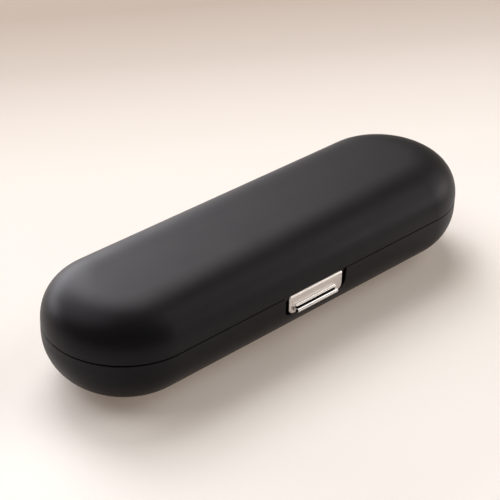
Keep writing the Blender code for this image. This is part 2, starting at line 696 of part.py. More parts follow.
def make_latch_plate():
    """Flap: a plate with softened edges, a barrel for the pin and a hook rib on its back."""
    low = PLATE_TOP - PLATE_HEIGHT
    outline = rounded_drop(PLATE_HALF_WIDTH, PLATE_HALF_WIDTH, PLATE_TOP, low, PLATE_CORNER)
    plate = slab("latch_plate", outline, PLATE_FRONT, PLATE_BACK, "XZ")
    edge = plate.modifiers.new("softened edges", "BEVEL")
    edge.width = PLATE_EDGE
    edge.segments = 2
    edge.limit_method = "ANGLE"
    barrel_half = PLATE_HALF_WIDTH - BARREL_INSET
    low_end, high_end = latch_point(-barrel_half), latch_point(barrel_half)
    join(plate, cylinder("barrel", low_end, high_end, BARREL_RADIUS, "X"))
    hook_top = SEAM_HEIGHT - HOOK_DROP
    hook_root = PLATE_BACK - PLATE_THICKNESS / 2
    hook_tip = PLATE_BACK + HOOK_REACH
    outline = [
        (hook_root, hook_top),
        (hook_root, hook_top - HOOK_HEIGHT),
        (hook_tip, hook_top - HOOK_HEIGHT),
        (hook_tip, hook_top),
    ]
    join(plate, slab("hook rib", outline, -HOOK_HALF_WIDTH, HOOK_HALF_WIDTH, "YZ"))
    overrun = Vector((OVERRUN, 0, 0))
    bore = LATCH_PIN_RADIUS + PIN_GAP
    cut(plate, cylinder("latch pin bore", low_end - overrun, high_end + overrun, bore, "X"))
    bay = spring_half_length() + SPRING_BAY_GAP
    low = (-bay, PLATE_BACK - SPRING_BAY_SKIM, LATCH_Z - BARREL_RADIUS - OVERRUN)
    high = (bay, LATCH_Y + BARREL_RADIUS + OVERRUN, LATCH_Z + BARREL_RADIUS + OVERRUN)
    cut(plate, box("spring bay", low, high))
    bay -= SPRING_BAY_SKIM
    bay_radius = SPRING_MEAN_RADIUS + SPRING_WIRE_RADIUS + PIN_GAP
    cut(plate, cylinder("spring bay front", latch_point(-bay), latch_point(bay), bay_radius, "X"))
    for side in (-1, 1):
        start, end = rivet_point(side, PLATE_FRONT - OVERRUN), rivet_point(side, PLATE_BACK + OVERRUN)
        cut(plate, cylinder("rivet hole", start, end, RIVET_RADIUS + PIN_GAP, "Y"))
    return finish(smooth(plate), (0.52, 0.48, 0.45), 0.3, 1)


def rivet_point(side, y):
    return Vector((side * RIVET_PLACE, y, SEAM_HEIGHT - (LIP_BEAD_DROP + LIP_NOSE_DROP) / 2))


def make_finger_lip():
    """Formed lip: a small bead above a larger rounded nose, on a root that lies on the plate."""
    root = PLATE_FRONT - LIP_SEAT_GAP
    bead = (PLATE_FRONT - LIP_BEAD_REACH, SEAM_HEIGHT - LIP_BEAD_DROP)
    nose = (PLATE_FRONT - LIP_NOSE_REACH, SEAM_HEIGHT - LIP_NOSE_DROP)
    web = root - LIP_ROOT_DEPTH
    outline = [
        (root, bead[1] + LIP_BEAD_RADIUS),
        *arc(bead, LIP_BEAD_RADIUS, *LIP_BEAD_WRAP, 7),
        (web, nose[1] + LIP_NOSE_RADIUS),
        *arc(nose, LIP_NOSE_RADIUS, *LIP_NOSE_WRAP, 10),
        (root, nose[1] - LIP_NOSE_RADIUS),
    ]
    lip = slab("finger_lip", outline, -LIP_HALF_LENGTH, LIP_HALF_LENGTH, "YZ")
    for side in (-1, 1):
        for (y, z), radius in ((bead, LIP_BEAD_BORE), (nose, LIP_NOSE_BORE)):
            inner = Vector((side * (LIP_HALF_LENGTH - LIP_BORE_DEPTH), y, z))
            outer = Vector((side * (LIP_HALF_LENGTH + OVERRUN), y, z))
            cut(lip, cylinder("roll bore", min(inner, outer, key=lambda p: p.x),
                              max(inner, outer, key=lambda p: p.x), radius, "X", 10))
        tip = rivet_point(side, root - RIVET_TIP_DEPTH - SEAT_GAP)
        mouth = rivet_point(side, root + OVERRUN)
        cut(lip, cylinder("rivet socket", tip, mouth, RIVET_RADIUS + PIN_GAP, "Y"))
    finish(smooth(lip), (0.8, 0.79, 0.78), 0.08, 1)


def make_rivets():
    for name, side in (("lip_rivet_left", -1), ("lip_rivet_right", 1)):
        seat = rivet_point(side, PLATE_BACK + LIP_SEAT_GAP)
        length = PLATE_THICKNESS + 2 * LIP_SEAT_GAP + RIVET_TIP_DEPTH
        profile = [
            (0, RIVET_HEAD_HEIGHT),
            (RIVET_HEAD_RADIUS * RIVET_CROWN_SHARE, RIVET_HEAD_HEIGHT),
            (RIVET_HEAD_RADIUS, 0),
            (RIVET_RADIUS, 0),
            (RIVET_RADIUS, -length),
            (0, -length),
        ]
        rivet = turned(name, profile, seat, (-math.pi / 2, 0, 0))
        finish(smooth(rivet), (0.5, 0.49, 0.47), 0.3, 1)


def make_latch_bracket():
    """Bent strip inside the lid's front wall, with an ear on each side that reaches down to the pin."""
    ear = arc((LATCH_Y, LATCH_Z), EAR_RADIUS, *EAR_WRAP, 10)
    outline = [
        (BRACKET_FRONT, BRACKET_LOW + BRACKET_HEIGHT),
        (BRACKET_BACK, BRACKET_LOW + BRACKET_HEIGHT),
        (BRACKET_BACK, LATCH_Z),
        *ear,
        (BRACKET_FRONT, LATCH_Z + EAR_RADIUS),
    ]
    bracket = slab("latch_bracket", outline, -EAR_OUTER, EAR_OUTER, "YZ")
    low = (-EAR_INNER, LATCH_Y - EAR_RADIUS - OVERRUN, LATCH_Z - EAR_RADIUS - OVERRUN)
    high = (EAR_INNER, BRACKET_BACK + OVERRUN, BRACKET_LOW)
    cut(bracket, box("between the ears", low, high))
    ends = latch_point(-EAR_OUTER - OVERRUN), latch_point(EAR_OUTER + OVERRUN)
    cut(bracket, cylinder("ear holes", *ends, LATCH_PIN_RADIUS + PIN_GAP, "X"))
    names = ("bracket_screw_left", "bracket_screw_right")
    for name, side in zip(names, (-1, 1)):
        seat = bracket_screw_seat(side)
        through = Vector((0, BRACKET_THICKNESS + OVERRUN, 0))
        hole_radius = BRACKET_SCREW[2] + PIN_GAP
        cut(bracket, cylinder("screw hole", seat - through, seat + through, hole_radius, "Y"))
        seat = seat + Vector((0, SEAT_GAP / 2, 0))
        screw_piece(name, BRACKET_SCREW, seat, (-math.pi / 2, 0, 0))
    finish(bracket, (0.05, 0.05, 0.052), 0.4, 1)


def make_latch_pin():
    pin = cylinder("latch_pin", latch_point(-EAR_OUTER), latch_point(EAR_OUTER), LATCH_PIN_RADIUS, "X")
    finish(smooth(pin), (0.55, 0.54, 0.52), 0.3, 1)


def spring_half_length():
    return SPRING_TURNS * SPRING_PITCH / 2 + SPRING_WIRE_RADIUS


def make_latch_spring():
    """Torsion spring: a short coil round the pin, one leg under the bracket, one against the plate."""
    per_turn = 10
    count = SPRING_TURNS * per_turn
    start = math.radians(90)
    turns = []
    for i in range(count + 1):
        angle = start + 2 * math.pi * i / per_turn
        x = SPRING_PITCH * (i / per_turn - SPRING_TURNS / 2)
        y = LATCH_Y + SPRING_MEAN_RADIUS * math.cos(angle - math.pi / 2)
        z = LATCH_Z + SPRING_MEAN_RADIUS * math.sin(angle - math.pi / 2)
        turns.append(Vector((x, y, z)))
    leg = Vector((0, 0, SPRING_LEG))
    bent = Vector((0, SPRING_MEAN_RADIUS, 0))
    lower = turns[0] - leg
    upper = turns[-1] + leg / 2
    tail = bent + leg / 4
    path = [lower - tail, lower, *turns, upper, upper + tail]
    gap = least_gap(turns, per_turn) - 2 * SPRING_WIRE_RADIUS
    print(f"least gap between the spring's turns: {gap / MM:.2f} mm")
    curve = bpy.data.curves.new("latch_spring", "CURVE")
    curve.dimensions = "3D"
    curve.bevel_depth = SPRING_WIRE_RADIUS
    curve.bevel_resolution = 1
    curve.use_fill_caps = True
    spline = curve.splines.new("POLY")
    spline.points.add(len(path) - 1)
    for point, place in zip(spline.points, path):
        point.co = (*place, 1)
    spring = to_mesh_object(bpy.data.objects.new("latch_spring wire", curve), "latch_spring")
    finish(smooth(spring, 60), (0.5, 0.49, 0.48), 0.25, 1)


def least_gap(points, per_turn):
    """Smallest distance between points that lie more than half a turn apart along the wire."""
    apart = per_turn // 2 + 1
    return min(
        (points[i] - points[j]).length
        for i in range(len(points))
        for j in range(i + apart, len(points))
    )


def make_catch():
    """Sprung strip on the pocket's floor whose bow snaps over the flap's hook rib."""
    foot_front = POCKET_FLOOR - SEAT_GAP
    foot_top = CATCH_FOOT_LOW + CATCH_FOOT_HEIGHT
    steps = 12
    inner, outer = [], []
    for i in range(steps + 1):
        along = i / steps
        height = foot_top + CATCH_BOW_HEIGHT * along
        reach = CATCH_BOW_REACH * math.sin(math.pi * along) ** 2
        inner.append((foot_front - reach, height))
        outer.append((foot_front - reach - CATCH_THICKNESS, height))
    outline = [(foot_front, CATCH_FOOT_LOW), *inner, *reversed(outer),
               (foot_front - CATCH_THICKNESS, CATCH_FOOT_LOW)]
    catch = slab("catch_clip", outline, -CATCH_FOOT_HALF_WIDTH, CATCH_FOOT_HALF_WIDTH, "YZ")
    above = foot_top + CATCH_BOW_HEIGHT + OVERRUN
    for start, end in (
        (-CATCH_FOOT_HALF_WIDTH - OVERRUN, -CATCH_HALF_WIDTH),
        (CATCH_HALF_WIDTH, CATCH_FOOT_HALF_WIDTH + OVERRUN),
    ):
        low = (start, foot_front - CATCH_BOW_REACH - CATCH_THICKNESS - OVERRUN, foot_top)
        cut(catch, box("beside the bow", low, (end, foot_front + OVERRUN, above)))
    for name, side in (("catch_screw_left", -1), ("catch_screw_right", 1)):
        seat = catch_screw_seat(side)
        through = Vector((0, CATCH_THICKNESS + OVERRUN, 0))
        hole_radius = SMALL_SCREW[2] + PIN_GAP
        cut(catch, cylinder("catch screw hole", seat - through, seat + through, hole_radius, "Y"))
        seat = seat - Vector((0, SEAT_GAP / 2, 0))
        screw_piece(name, SMALL_SCREW, seat, (math.pi / 2, 0, 0))
    finish(catch, (0.5, 0.49, 0.47), 0.3, 1)


clear_scene()
case_parts = new_collection("toothbrush_travel_case")
case_tools = new_collection("cutters")
make_base_shell()
make_lid_shell()
make_hinge_pins()
make_base_tray()
make_cradle_pads()
make_lid_liner()
make_hold_down_pads()
make_latch_plate()
make_finger_lip()
make_rivets()
make_latch_bracket()
make_latch_pin()
make_latch_spring()
make_catch()
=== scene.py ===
# %% [markdown]
# # A hard travel case for an electric toothbrush
# The real case is a capsule-shaped clamshell of black plastic with a soft-touch coating, about 220 mm
# long. A small bright metal flap hangs from the lid's front rim and snaps into a pocket of the base.
# Inside are a moulded tray, a liner and pads. The plain solids of the engineering model are loaded first.
# Every finer piece below is built at the same place and in the same metres, and stands for its solid.

# %% Load the solids
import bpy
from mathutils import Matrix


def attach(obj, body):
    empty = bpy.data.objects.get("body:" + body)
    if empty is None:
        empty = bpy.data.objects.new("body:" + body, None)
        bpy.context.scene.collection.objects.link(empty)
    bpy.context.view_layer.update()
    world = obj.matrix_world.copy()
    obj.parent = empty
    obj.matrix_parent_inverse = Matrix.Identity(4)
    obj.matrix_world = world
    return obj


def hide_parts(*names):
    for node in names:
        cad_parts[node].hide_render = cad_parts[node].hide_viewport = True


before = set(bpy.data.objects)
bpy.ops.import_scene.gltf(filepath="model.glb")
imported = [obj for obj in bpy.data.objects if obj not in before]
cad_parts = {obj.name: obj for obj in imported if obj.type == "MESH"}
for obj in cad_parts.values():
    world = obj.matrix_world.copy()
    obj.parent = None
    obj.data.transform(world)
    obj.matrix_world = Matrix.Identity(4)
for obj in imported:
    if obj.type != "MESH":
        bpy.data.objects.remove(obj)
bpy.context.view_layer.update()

# %% What the lesson uses
import math

import bmesh
import bpy
from mathutils import Matrix, Vector

MM = 0.001

# %% [markdown]
# ## Camera
# The photograph looks down on the case from its front left with a long lens. Its place could be set by
# eye, but here it was fitted to the outline of the case: a turn round the case, a height, a roll and a
# distance. The focal length is worked out for a 36 mm sensor and a picture of 500 by 500 pixels.

# %% Camera
PICTURE_SIDE = 500
FOCAL_PIXELS = 1661.7
TURN, HEIGHT_ANGLE, ROLL = -0.7758, 0.5662, 0.0314
DISTANCE = 729.4 * MM
AIM_RIGHT, AIM_UP = -4.60 * MM, 21.76 * MM

lens = bpy.data.cameras.new("lens")
lens.sensor_width = 36
lens.lens = lens.sensor_width * FOCAL_PIXELS / PICTURE_SIDE
camera = bpy.data.objects.new("camera", lens)
bpy.context.scene.collection.objects.link(camera)
flat = math.cos(HEIGHT_ANGLE)
back = Vector((math.sin(TURN) * flat, -math.cos(TURN) * flat, math.sin(HEIGHT_ANGLE)))
right = Vector((math.cos(TURN), math.sin(TURN), 0))
up = back.cross(right)
across = math.cos(ROLL) * right + math.sin(ROLL) * up
rise = math.cos(ROLL) * up - math.sin(ROLL) * right
camera.matrix_world = Matrix.Translation(AIM_RIGHT * right + AIM_UP * up + DISTANCE * back) @ Matrix(
    (across, rise, back)).transposed().to_4x4()
bpy.context.scene.camera = camera
print(f"focal length {lens.lens:.1f} mm, camera at", [round(v, 4) for v in camera.matrix_world.translation])

# %% [markdown]
# ## Colours and nodes
# A colour picked from a screen is an sRGB hex value, but light adds up in linear values, so one function
# turns the one into the other. A second function adds a shader node with its settings and its links. The
# rest are short forms of what nearly every material needs: noise of a real size, a mix of two tones, a
# roughness that varies, and a relief.

# %% Colour and node helpers
def linear(code):
    """Linear red, green, blue and alpha of an sRGB hex colour."""
    parts = [int(code[i:i + 2], 16) / 255 for i in (1, 3, 5)]
    return (*[p / 12.92 if p <= 0.04045 else ((p + 0.055) / 1.055) ** 2.4 for p in parts], 1)


def add(tree, kind, inputs=None, **settings):
    """Adds a shader node, sets its settings, and fills its inputs with values or links."""
    made = tree.nodes.new("ShaderNode" + kind)
    for name, value in settings.items():
        setattr(made, name, value)
    for name, value in (inputs or {}).items():
        if isinstance(value, bpy.types.NodeSocket):
            tree.links.new(value, made.inputs[name])
        else:
            made.inputs[name].default_value = value
    return made


def new_material(name, colour, roughness, **constants):
    """A material with one Principled shader, its plain values, and the place on the surface in metres."""
    material = bpy.data.materials.new(name)
    material.use_nodes = True
    tree = material.node_tree
    shader = tree.nodes["Principled BSDF"]
    shader.inputs["Base Color"].default_value = linear(colour)
    shader.inputs["Roughness"].default_value = roughness
    for socket, value in constants.items():
        shader.inputs[socket.replace("_", " ")].default_value = value
    print("material:", name)
    return material, tree, shader, add(tree, "TexCoord").outputs["Object"]


# %% Short forms for materials
def feed(tree, shader, **links):
    """Links values to sockets of a shader."""
    for socket, value in links.items():
        tree.links.new(value, shader.inputs[socket.replace("_", " ")])


def per_mm(size):
    """Texture scale that gives details of a size in millimetres."""
    return 1 / (size * MM)


def noise(tree, place, size, detail, roughness=0.5):
    """Noise whose details have a size in millimetres."""
    return add(tree, "TexNoise", {"Vector": place, "Scale": per_mm(size), "Detail": detail,
                                  "Roughness": roughness}).outputs["Fac"]


def mapped(tree, value, low, high, start=0, end=1):
    """Stretches a value from the range start to end onto the range low to high."""
    return add(tree, "MapRange", {"Value": value, "From Min": start, "From Max": end,
                                  "To Min": low, "To Max": high}).outputs["Result"]


def mix(tree, factor, low, high):
    """A colour between two, each of them a hex code or a link."""
    low, high = [linear(end) if isinstance(end, str) else end for end in (low, high)]
    return add(tree, "Mix", {"Factor": factor, 6: low, 7: high}, data_type="RGBA").outputs[2]


def relief(tree, shader, height, strength, depth):
    """Bends the light as if the surface rose with a texture, by a depth in millimetres."""
    bump = add(tree, "Bump", {"Height": height, "Strength": strength, "Distance": depth * MM})
    feed(tree, shader, Normal=bump.outputs["Normal"])


def looking(tree):
    """1 for rays from the camera, from a shiny surface or through a clear one, 0 for rays that light things."""
    ray = add(tree, "LightPath").outputs
    most = add(tree, "Math", {0: ray["Is Camera Ray"], 1: ray["Is Glossy Ray"]}, operation="MAXIMUM")
    most = add(tree, "Math", {0: most.outputs["Value"], 1: ray["Is Transmission Ray"]}, operation="MAXIMUM")
    return most.outputs["Value"]


# %% [markdown]
# ## Floor
# The case lies on a pale, warm, plain sheet of paper board. It is nearly white in front and darkens
# slowly into the distance, where less of the studio's light reaches it. The lamps could do that, but then
# the case would be lit unevenly too, so the sheet itself is tinted along the line of sight. Seen from the
# camera or in the metal it also glows a little, which lifts its shadows and lights nothing.

# %% Floor
# millimetres from the middle of the sheet along the line of sight, and the tint there
FLOOR_TINTS = {-100: "#FBF9F8", 0: "#F2EFEC", 60: "#EAE6E4", 130: "#E1DDD9", 190: "#D1CBC6",
               250: "#B6ADA7", 320: "#9C9088"}
LINE_OF_SIGHT = (0.5, 0.9, 0)
FLOOR_GLOW = 0.18
FLOOR_HALF = 3000 * MM

paper, tree, shader, place = new_material("coated_paper_board", "#F2EFEC", 0.85, Specular_IOR_Level=0.1,
                                          Emission_Color=linear("#FFE4CE"))
away = add(tree, "VectorMath", {0: place, 1: LINE_OF_SIGHT}, operation="DOT_PRODUCT").outputs["Value"]
near, far = min(FLOOR_TINTS), max(FLOOR_TINTS)
tint = add(tree, "ValToRGB", {"Fac": mapped(tree, away, 0, 1, near * MM, far * MM)})
stops = tint.color_ramp.elements
stops.remove(stops[-1])
for at, code in FLOOR_TINTS.items():
    stop = stops[0] if at == near else stops.new((at - near) / (far - near))
    stop.color = linear(code)
glow = add(tree, "Math", {0: looking(tree), 1: FLOOR_GLOW}, operation="MULTIPLY")
feed(tree, shader, Base_Color=tint.outputs["Color"], Emission_Strength=glow.outputs["Value"])
# The fibres of the board are just felt as a dull grain and keep the floor from looking like glass.
relief(tree, shader, noise(tree, place, 1.2, 4), 0.05, 0.05)

sheet = bpy.data.meshes.new("floor")
corners = [(x * FLOOR_HALF, y * FLOOR_HALF, 0) for x, y in ((-1, -1), (1, -1), (1, 1), (-1, 1))]
sheet.from_pydata(corners, [], [(0, 1, 2, 3)])
floor = bpy.data.objects.new("floor", sheet)
bpy.context.scene.collection.objects.link(floor)
sheet.materials.append(paper)
print("floor half width", FLOOR_HALF, "m")

# %% [markdown]
# ## Light
# The shadow in the photograph falls to the front and right with soft edges, the far shoulder and the flat
# top glow, and the near flank is almost black. Seven softboxes do that: one high on the left, three
# behind the case at different heights, and three on the right, of which the highest draws the bright line
# on the lip. Each power is worked out from how bright a white card that faces the softbox would be, so
# moving it away changes nothing. The room is pale where the camera or the metal sees it, but hardly
# gives light.

# %% Lamps and room
LOOK_AT = Vector((0, 0, 20 * MM))
# height and turn of the direction, width and height of the softbox as seen from the case, all in degrees; then
# distance in metres, brightness of the white card, and colour
SOFTBOXES = {
    "high_left_softbox": (55, 130, 36, 36, 2.5, 0.27, "#FFFCF8"),
    "high_rear_softbox": (50, 60, 34, 34, 1.5, 0.54, "#FFFCF8"),
    "middle_rear_softbox": (32, 75, 34, 34, 1.5, 0.31, "#FBFBFF"),
    "low_rear_softbox": (12, 88, 60, 20, 4, 0.69, "#FBFBFF"),
    "low_right_softbox": (12, 330, 38, 20, 4, 0.29, "#FFFAF4"),
    "right_softbox": (30, 342, 34, 34, 4, 0.17, "#FFFAF4"),
    "high_right_softbox": (50, 325, 30, 30, 4, 0.08, "#FFFCF8"),
}
for name, (lift, turn, wide, high, distance, card, colour) in SOFTBOXES.items():
    lift, turn = math.radians(lift), math.radians(turn)
    level = math.cos(lift)
    direction = Vector((math.cos(turn) * level, math.sin(turn) * level, math.sin(lift)))
    lamp = bpy.data.lights.new(name, "AREA")
    lamp.shape = "RECTANGLE"
    lamp.size = 2 * distance * math.tan(math.radians(wide / 2))
    lamp.size_y = 2 * distance * math.tan(math.radians(high / 2))
    lamp.energy = card * (math.pi * distance) ** 2
    lamp.color = linear(colour)[:3]
    holder = bpy.data.objects.new(name, lamp)
    bpy.context.scene.collection.objects.link(holder)
    holder.location = LOOK_AT + distance * direction
    holder.rotation_euler = direction.to_track_quat("Z", "Y").to_euler()
    print(f"{name}: {lamp.size:.2f} x {lamp.size_y:.2f} m, {lamp.energy:.1f} W")

# strength of the room's walls for rays that light things, and for rays that look
ROOM_LIGHT, ROOM_SEEN = 0.015, 0.32
room = bpy.data.worlds.new("room")
bpy.context.scene.world = room
room.use_nodes = True
walls = room.node_tree.nodes["Background"]
walls.inputs["Color"].default_value = linear("#FBF3EC")
tree = room.node_tree
feed(tree, walls, Strength=mapped(tree, looking(tree), ROOM_LIGHT, ROOM_SEEN))
bpy.context.scene.view_settings.view_transform = "Standard"

# %% [markdown]
# ## Soft-touch lacquer on ABS
# Both shells are moulded in black ABS and sprayed with a soft-touch polyurethane lacquer. The lacquer is
# dull and slightly grained, so lamps show as wide, soft glows. A rough shader alone looks flat and dead.
# A fine grain in the bump breaks the glow up, broad faint smudges vary the roughness, and the edges are
# rubbed a little smoother.

# %% Soft-touch lacquer
lacquer, tree, shader, place = new_material(
    "soft_touch_lacquer_on_abs", "#080708", 0.42, IOR=1.5, Specular_IOR_Level=0.19,
    Specular_Tint=linear("#F7F0FF"))
# The real grain is about 0.05 mm; it is drawn at 0.3 mm so that it shows.
grain, smudges = noise(tree, place, 0.3, 3, 0.6), noise(tree, place, 24, 3, 0.55)
edge = mapped(tree, add(tree, "NewGeometry").outputs["Pointiness"], 0, 1, 0.52, 0.62)
rough = mapped(tree, smudges, 0.4, 0.46, 0.3, 0.7)
rubbed = add(tree, "Math", {0: edge, 1: -0.08, 2: rough}, operation="MULTIPLY_ADD")
tone = mix(tree, smudges, "#070707", "#0A090A")
feed(tree, shader, Roughness=rubbed.outputs["Value"], Base_Color=mix(tree, edge, tone, "#131213"))
relief(tree, shader, grain, 0.12, 0.03)

# %% [markdown]
# ## Mesh helpers
# Nearly every piece is a section carried along a line. A list of rings of points, laid over with quads,
# builds them all, so one function does that. The points are in millimetres. Round corners come from arcs
# with many short steps, because the outline of a shiny or silhouetted edge shows every facet.

# %% Rings and skins
SHARP = 35  # shading breaks at edges that bend by more degrees than this
MERGE_POINTS, MERGE_CUTS = 0.0005 * MM, 0.002 * MM


def arc(centre, radius, start, end, steps):
    """Points on a circle in the plane of a section, angles in degrees."""
    turns = [math.radians(start + (end - start) * i / steps) for i in range(steps + 1)]
    return [(centre[0] + radius * math.cos(a), centre[1] + radius * math.sin(a)) for a in turns]


def rounded(corners, step=10):
    """Closed outline through corners given as (u, v, radius), each rounded by an arc."""
    points = []
    for i, (u, v, radius) in enumerate(corners):
        here = Vector((u, v))
        before = (Vector(corners[i - 1][:2]) - here).normalized()
        after = (Vector(corners[(i + 1) % len(corners)][:2]) - here).normalized()
        if radius == 0:
            points.append((u, v))
            continue
        half = before.angle(after) / 2
        centre = here + (before + after).normalized() * radius / math.sin(half)
        first = here + before * radius / math.tan(half) - centre
        last = here + after * radius / math.tan(half) - centre
        sweep = first.angle_signed(last)
        count = max(2, round(abs(math.degrees(sweep)) / step))
        for k in range(count + 1):
            turn = -sweep * k / count
            c, s = math.cos(turn), math.sin(turn)
            points.append((centre.x + first.x * c - first.y * s, centre.y + first.x * s + first.y * c))
    return points


def skin(name, rings, ring_closed=True, loop=False, angle=SHARP):
    """Lays quads between neighbouring rings of points and closes what is open."""
    count, total = len(rings[0]), len(rings)
    faces = []
    for i in range(total if loop else total - 1):
        a, b = i * count, (i + 1) % total * count
        for j in range(count if ring_closed else count - 1):
            k = (j + 1) % count
            faces.append((a + j, a + k, b + k, b + j))
    if ring_closed and not loop:
        faces += [tuple(range(count)), tuple(range((total - 1) * count, total * count))]
    mesh = bpy.data.meshes.new(name)
    mesh.from_pydata([Vector(p) * MM for ring in rings for p in ring], [], faces)
    made = bpy.data.objects.new(name, cleaned(mesh, MERGE_POINTS))
    bpy.context.scene.collection.objects.link(made)
    return shaded(made, angle)


def cleaned(mesh, distance):
    """Merges points that coincide and turns all faces outward."""
    bm = bmesh.new()
    bm.from_mesh(mesh)
    bmesh.ops.remove_doubles(bm, verts=bm.verts[:], dist=distance)
    bmesh.ops.dissolve_degenerate(bm, edges=bm.edges[:], dist=distance)
    bmesh.ops.recalc_face_normals(bm, faces=bm.faces[:])
    bm.to_mesh(mesh)
    bm.free()
    return mesh


def shaded(piece, angle):
    """Smooth shading that stops at edges sharper than an angle."""
    piece.data.shade_smooth()
    piece.data.set_sharp_from_angle(angle=math.radians(angle))
    return piece


# %% [markdown]
# ## Capsule plan
# The shells, the tray and the liner share one plan: two straight sides joined by half circles. The
# section of each is drawn once, as distance from the middle line and height, and is carried all the way
# round.

# %% Capsule sweep
HALF_LENGTH, HALF_WIDTH, SEAM = 110, 34, 25.9
END_CENTRE = HALF_LENGTH - HALF_WIDTH
SIDE_STEPS = 8


def capsule(name, section, half_straight, end_steps=96, place=(0, 0)):
    """Carries an open section round a capsule-shaped plan."""
    rings = []
    for end, start in ((1, -90), (-1, 90)):
        stations = [(end * half_straight, math.radians(start + 180 * i / end_steps))
                    for i in range(end_steps + 1)]
        stations += [(end * half_straight * (1 - 2 * i / SIDE_STEPS), math.radians(end * 90))
                     for i in range(1, SIDE_STEPS)]
        for x, turn in stations:
            c, s = math.cos(turn), math.sin(turn)
            rings.append([(place[0] + x + d * c, place[1] + d * s, z) for d, z in section])
    return skin(name, rings, ring_closed=False, loop=True)


def drawn_in(outline, inset):
    """A closed outline moved inward by a small inset."""
    following = [*outline[1:], outline[0]]
    area = sum(u * after[1] - after[0] * v for (u, v), after in zip(outline, following))
    inset = math.copysign(inset, area)
    shifted = []
    for i, (u, v) in enumerate(outline):
        run = (Vector(following[i]) - Vector(outline[i - 1])).normalized()
        shifted.append((u - inset * run.y, v + inset * run.x))
    return shifted


# %% Bars and turned pieces
def soft_edge(radius, turns):
    """Inset and depth at steps round a quarter circle, from a face to the side."""
    return [(radius * (1 - math.sin(a)), radius * (1 - math.cos(a))) for a in map(math.radians, turns)]


def bar(name, outline, start, end, plane="YZ", edge=0):
    """Runs a closed outline along X for (Y, Z) or along Y for (X, Z), with rounded edges at both ends."""
    first = [(inset, start + depth) for inset, depth in soft_edge(edge, (0, 30, 60, 90) if edge else (90,))]
    levels = first + [(inset, start + end - at) for inset, at in reversed(first)]
    rings = []
    for inset, at in levels:
        ring = drawn_in(outline, inset) if inset else outline
        rings.append([(at, u, v) if plane == "YZ" else (u, at, v) for u, v in ring])
    return skin(name, rings)


def spun(name, section, place, toward, steps=32):
    """Turns an open (radius, height) section about an axis that points from a place toward a direction."""
    turn = Vector((0, 0, 1)).rotation_difference(Vector(toward)).to_matrix()
    rings = []
    for i in range(steps):
        a = 2 * math.pi * i / steps
        ring = [Vector((r * math.cos(a), r * math.sin(a), h)) for r, h in section]
        rings.append([Vector(place) + turn @ point for point in ring])
    return skin(name, rings, ring_closed=False, loop=True)


def rod(radius, start, end, place, steps=48):
    """A plain round tool along X."""
    section = [(0, start), (radius, start), (radius, end), (0, end)]
    return spun("tool", section, place, (1, 0, 0), steps)


# %% Cutting, joining and placing
def carve(piece, tool, operation="DIFFERENCE"):
    """Cuts a tool out of a piece, or joins it on, and removes the tool."""
    step = piece.modifiers.new("carve", "BOOLEAN")
    step.operation = operation
    step.solver = "EXACT"
    step.object = tool
    seen = piece.evaluated_get(bpy.context.evaluated_depsgraph_get())
    mesh = bpy.data.meshes.new_from_object(seen)
    piece.modifiers.clear()
    piece.data = cleaned(mesh, MERGE_CUTS)
    bpy.data.objects.remove(tool)
    return shaded(piece, SHARP)


def put(piece, body, material, node):
    """Gives a piece its material, its body and the solid that it stands for."""
    piece.data.materials.clear()
    piece.data.materials.append(material)
    even = piece.modifiers.new("even shading", "WEIGHTED_NORMAL")
    even.keep_sharp = True
    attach(piece, body)
    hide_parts(node)
    size = (Vector(piece.bound_box[6]) - Vector(piece.bound_box[0])) / MM
    print(f"{piece.name}: {len(piece.data.polygons)} faces, {size.x:.1f} x {size.y:.1f} x {size.z:.1f} mm")
    return piece


# %% [markdown]
# ## Hinge knuckles
# Two short hinges join the shells at the back. Each knuckle is a rounded eye on a web that runs down onto
# the base or up onto the lid. They could be plain tubes, but a moulded knuckle flows into its web, so an
# outline of an arc and two straight runs is carried along the hinge line, and its ends are softened.

# %% Knuckles
HINGE_Y, KNUCKLE_RADIUS, HINGE_PIN_RADIUS = 34.9, 1.7, 0.75
HINGE_LINE, HINGE_STATIONS = (0, HINGE_Y, SEAM), (-38, 38)
LID_KNUCKLE, BASE_KNUCKLE, KNUCKLE_GAP, KNUCKLE_SOFT = 9.4, 7, 0.3, 0.25
WEB_HEIGHT, WEB_ROOT = 6, 0.8
KNUCKLE_CLEAR, HINGE_BORE, BORE_PAST = 2.0, 0.95, 0.15


def knuckle_spans(station):
    """Start and end of the lid's one knuckle, and of the two base knuckles beside it."""
    low, high = station - LID_KNUCKLE / 2, station + LID_KNUCKLE / 2
    left = (low - KNUCKLE_GAP - BASE_KNUCKLE, low - KNUCKLE_GAP)
    right = (high + KNUCKLE_GAP, high + KNUCKLE_GAP + BASE_KNUCKLE)
    return [(low, high)], [left, right]


def knuckle(span, way):
    """One knuckle with its web; way is 1 for the lid's and -1 for the base's."""
    root = HALF_WIDTH - WEB_ROOT
    eye = arc((HINGE_Y, SEAM), KNUCKLE_RADIUS, 25 * way, -215 * way, 36)
    outline = [(root, SEAM + way * WEB_HEIGHT), *eye, (root, SEAM + way * KNUCKLE_RADIUS)]
    return bar("knuckle", outline, *span, edge=KNUCKLE_SOFT)


def add_knuckles(shell, own, others, way):
    """Joins knuckles to a shell, makes room for those of the other shell, and bores for the pin."""
    for span in own:
        carve(shell, knuckle(span, way), operation="UNION")
    for start, end in others:
        carve(shell, rod(KNUCKLE_CLEAR, start - KNUCKLE_GAP, end + KNUCKLE_GAP, HINGE_LINE))
    for start, end in own:
        carve(shell, rod(HINGE_BORE, start - BORE_PAST, end + BORE_PAST, HINGE_LINE))


print("knuckles at", HINGE_STATIONS)

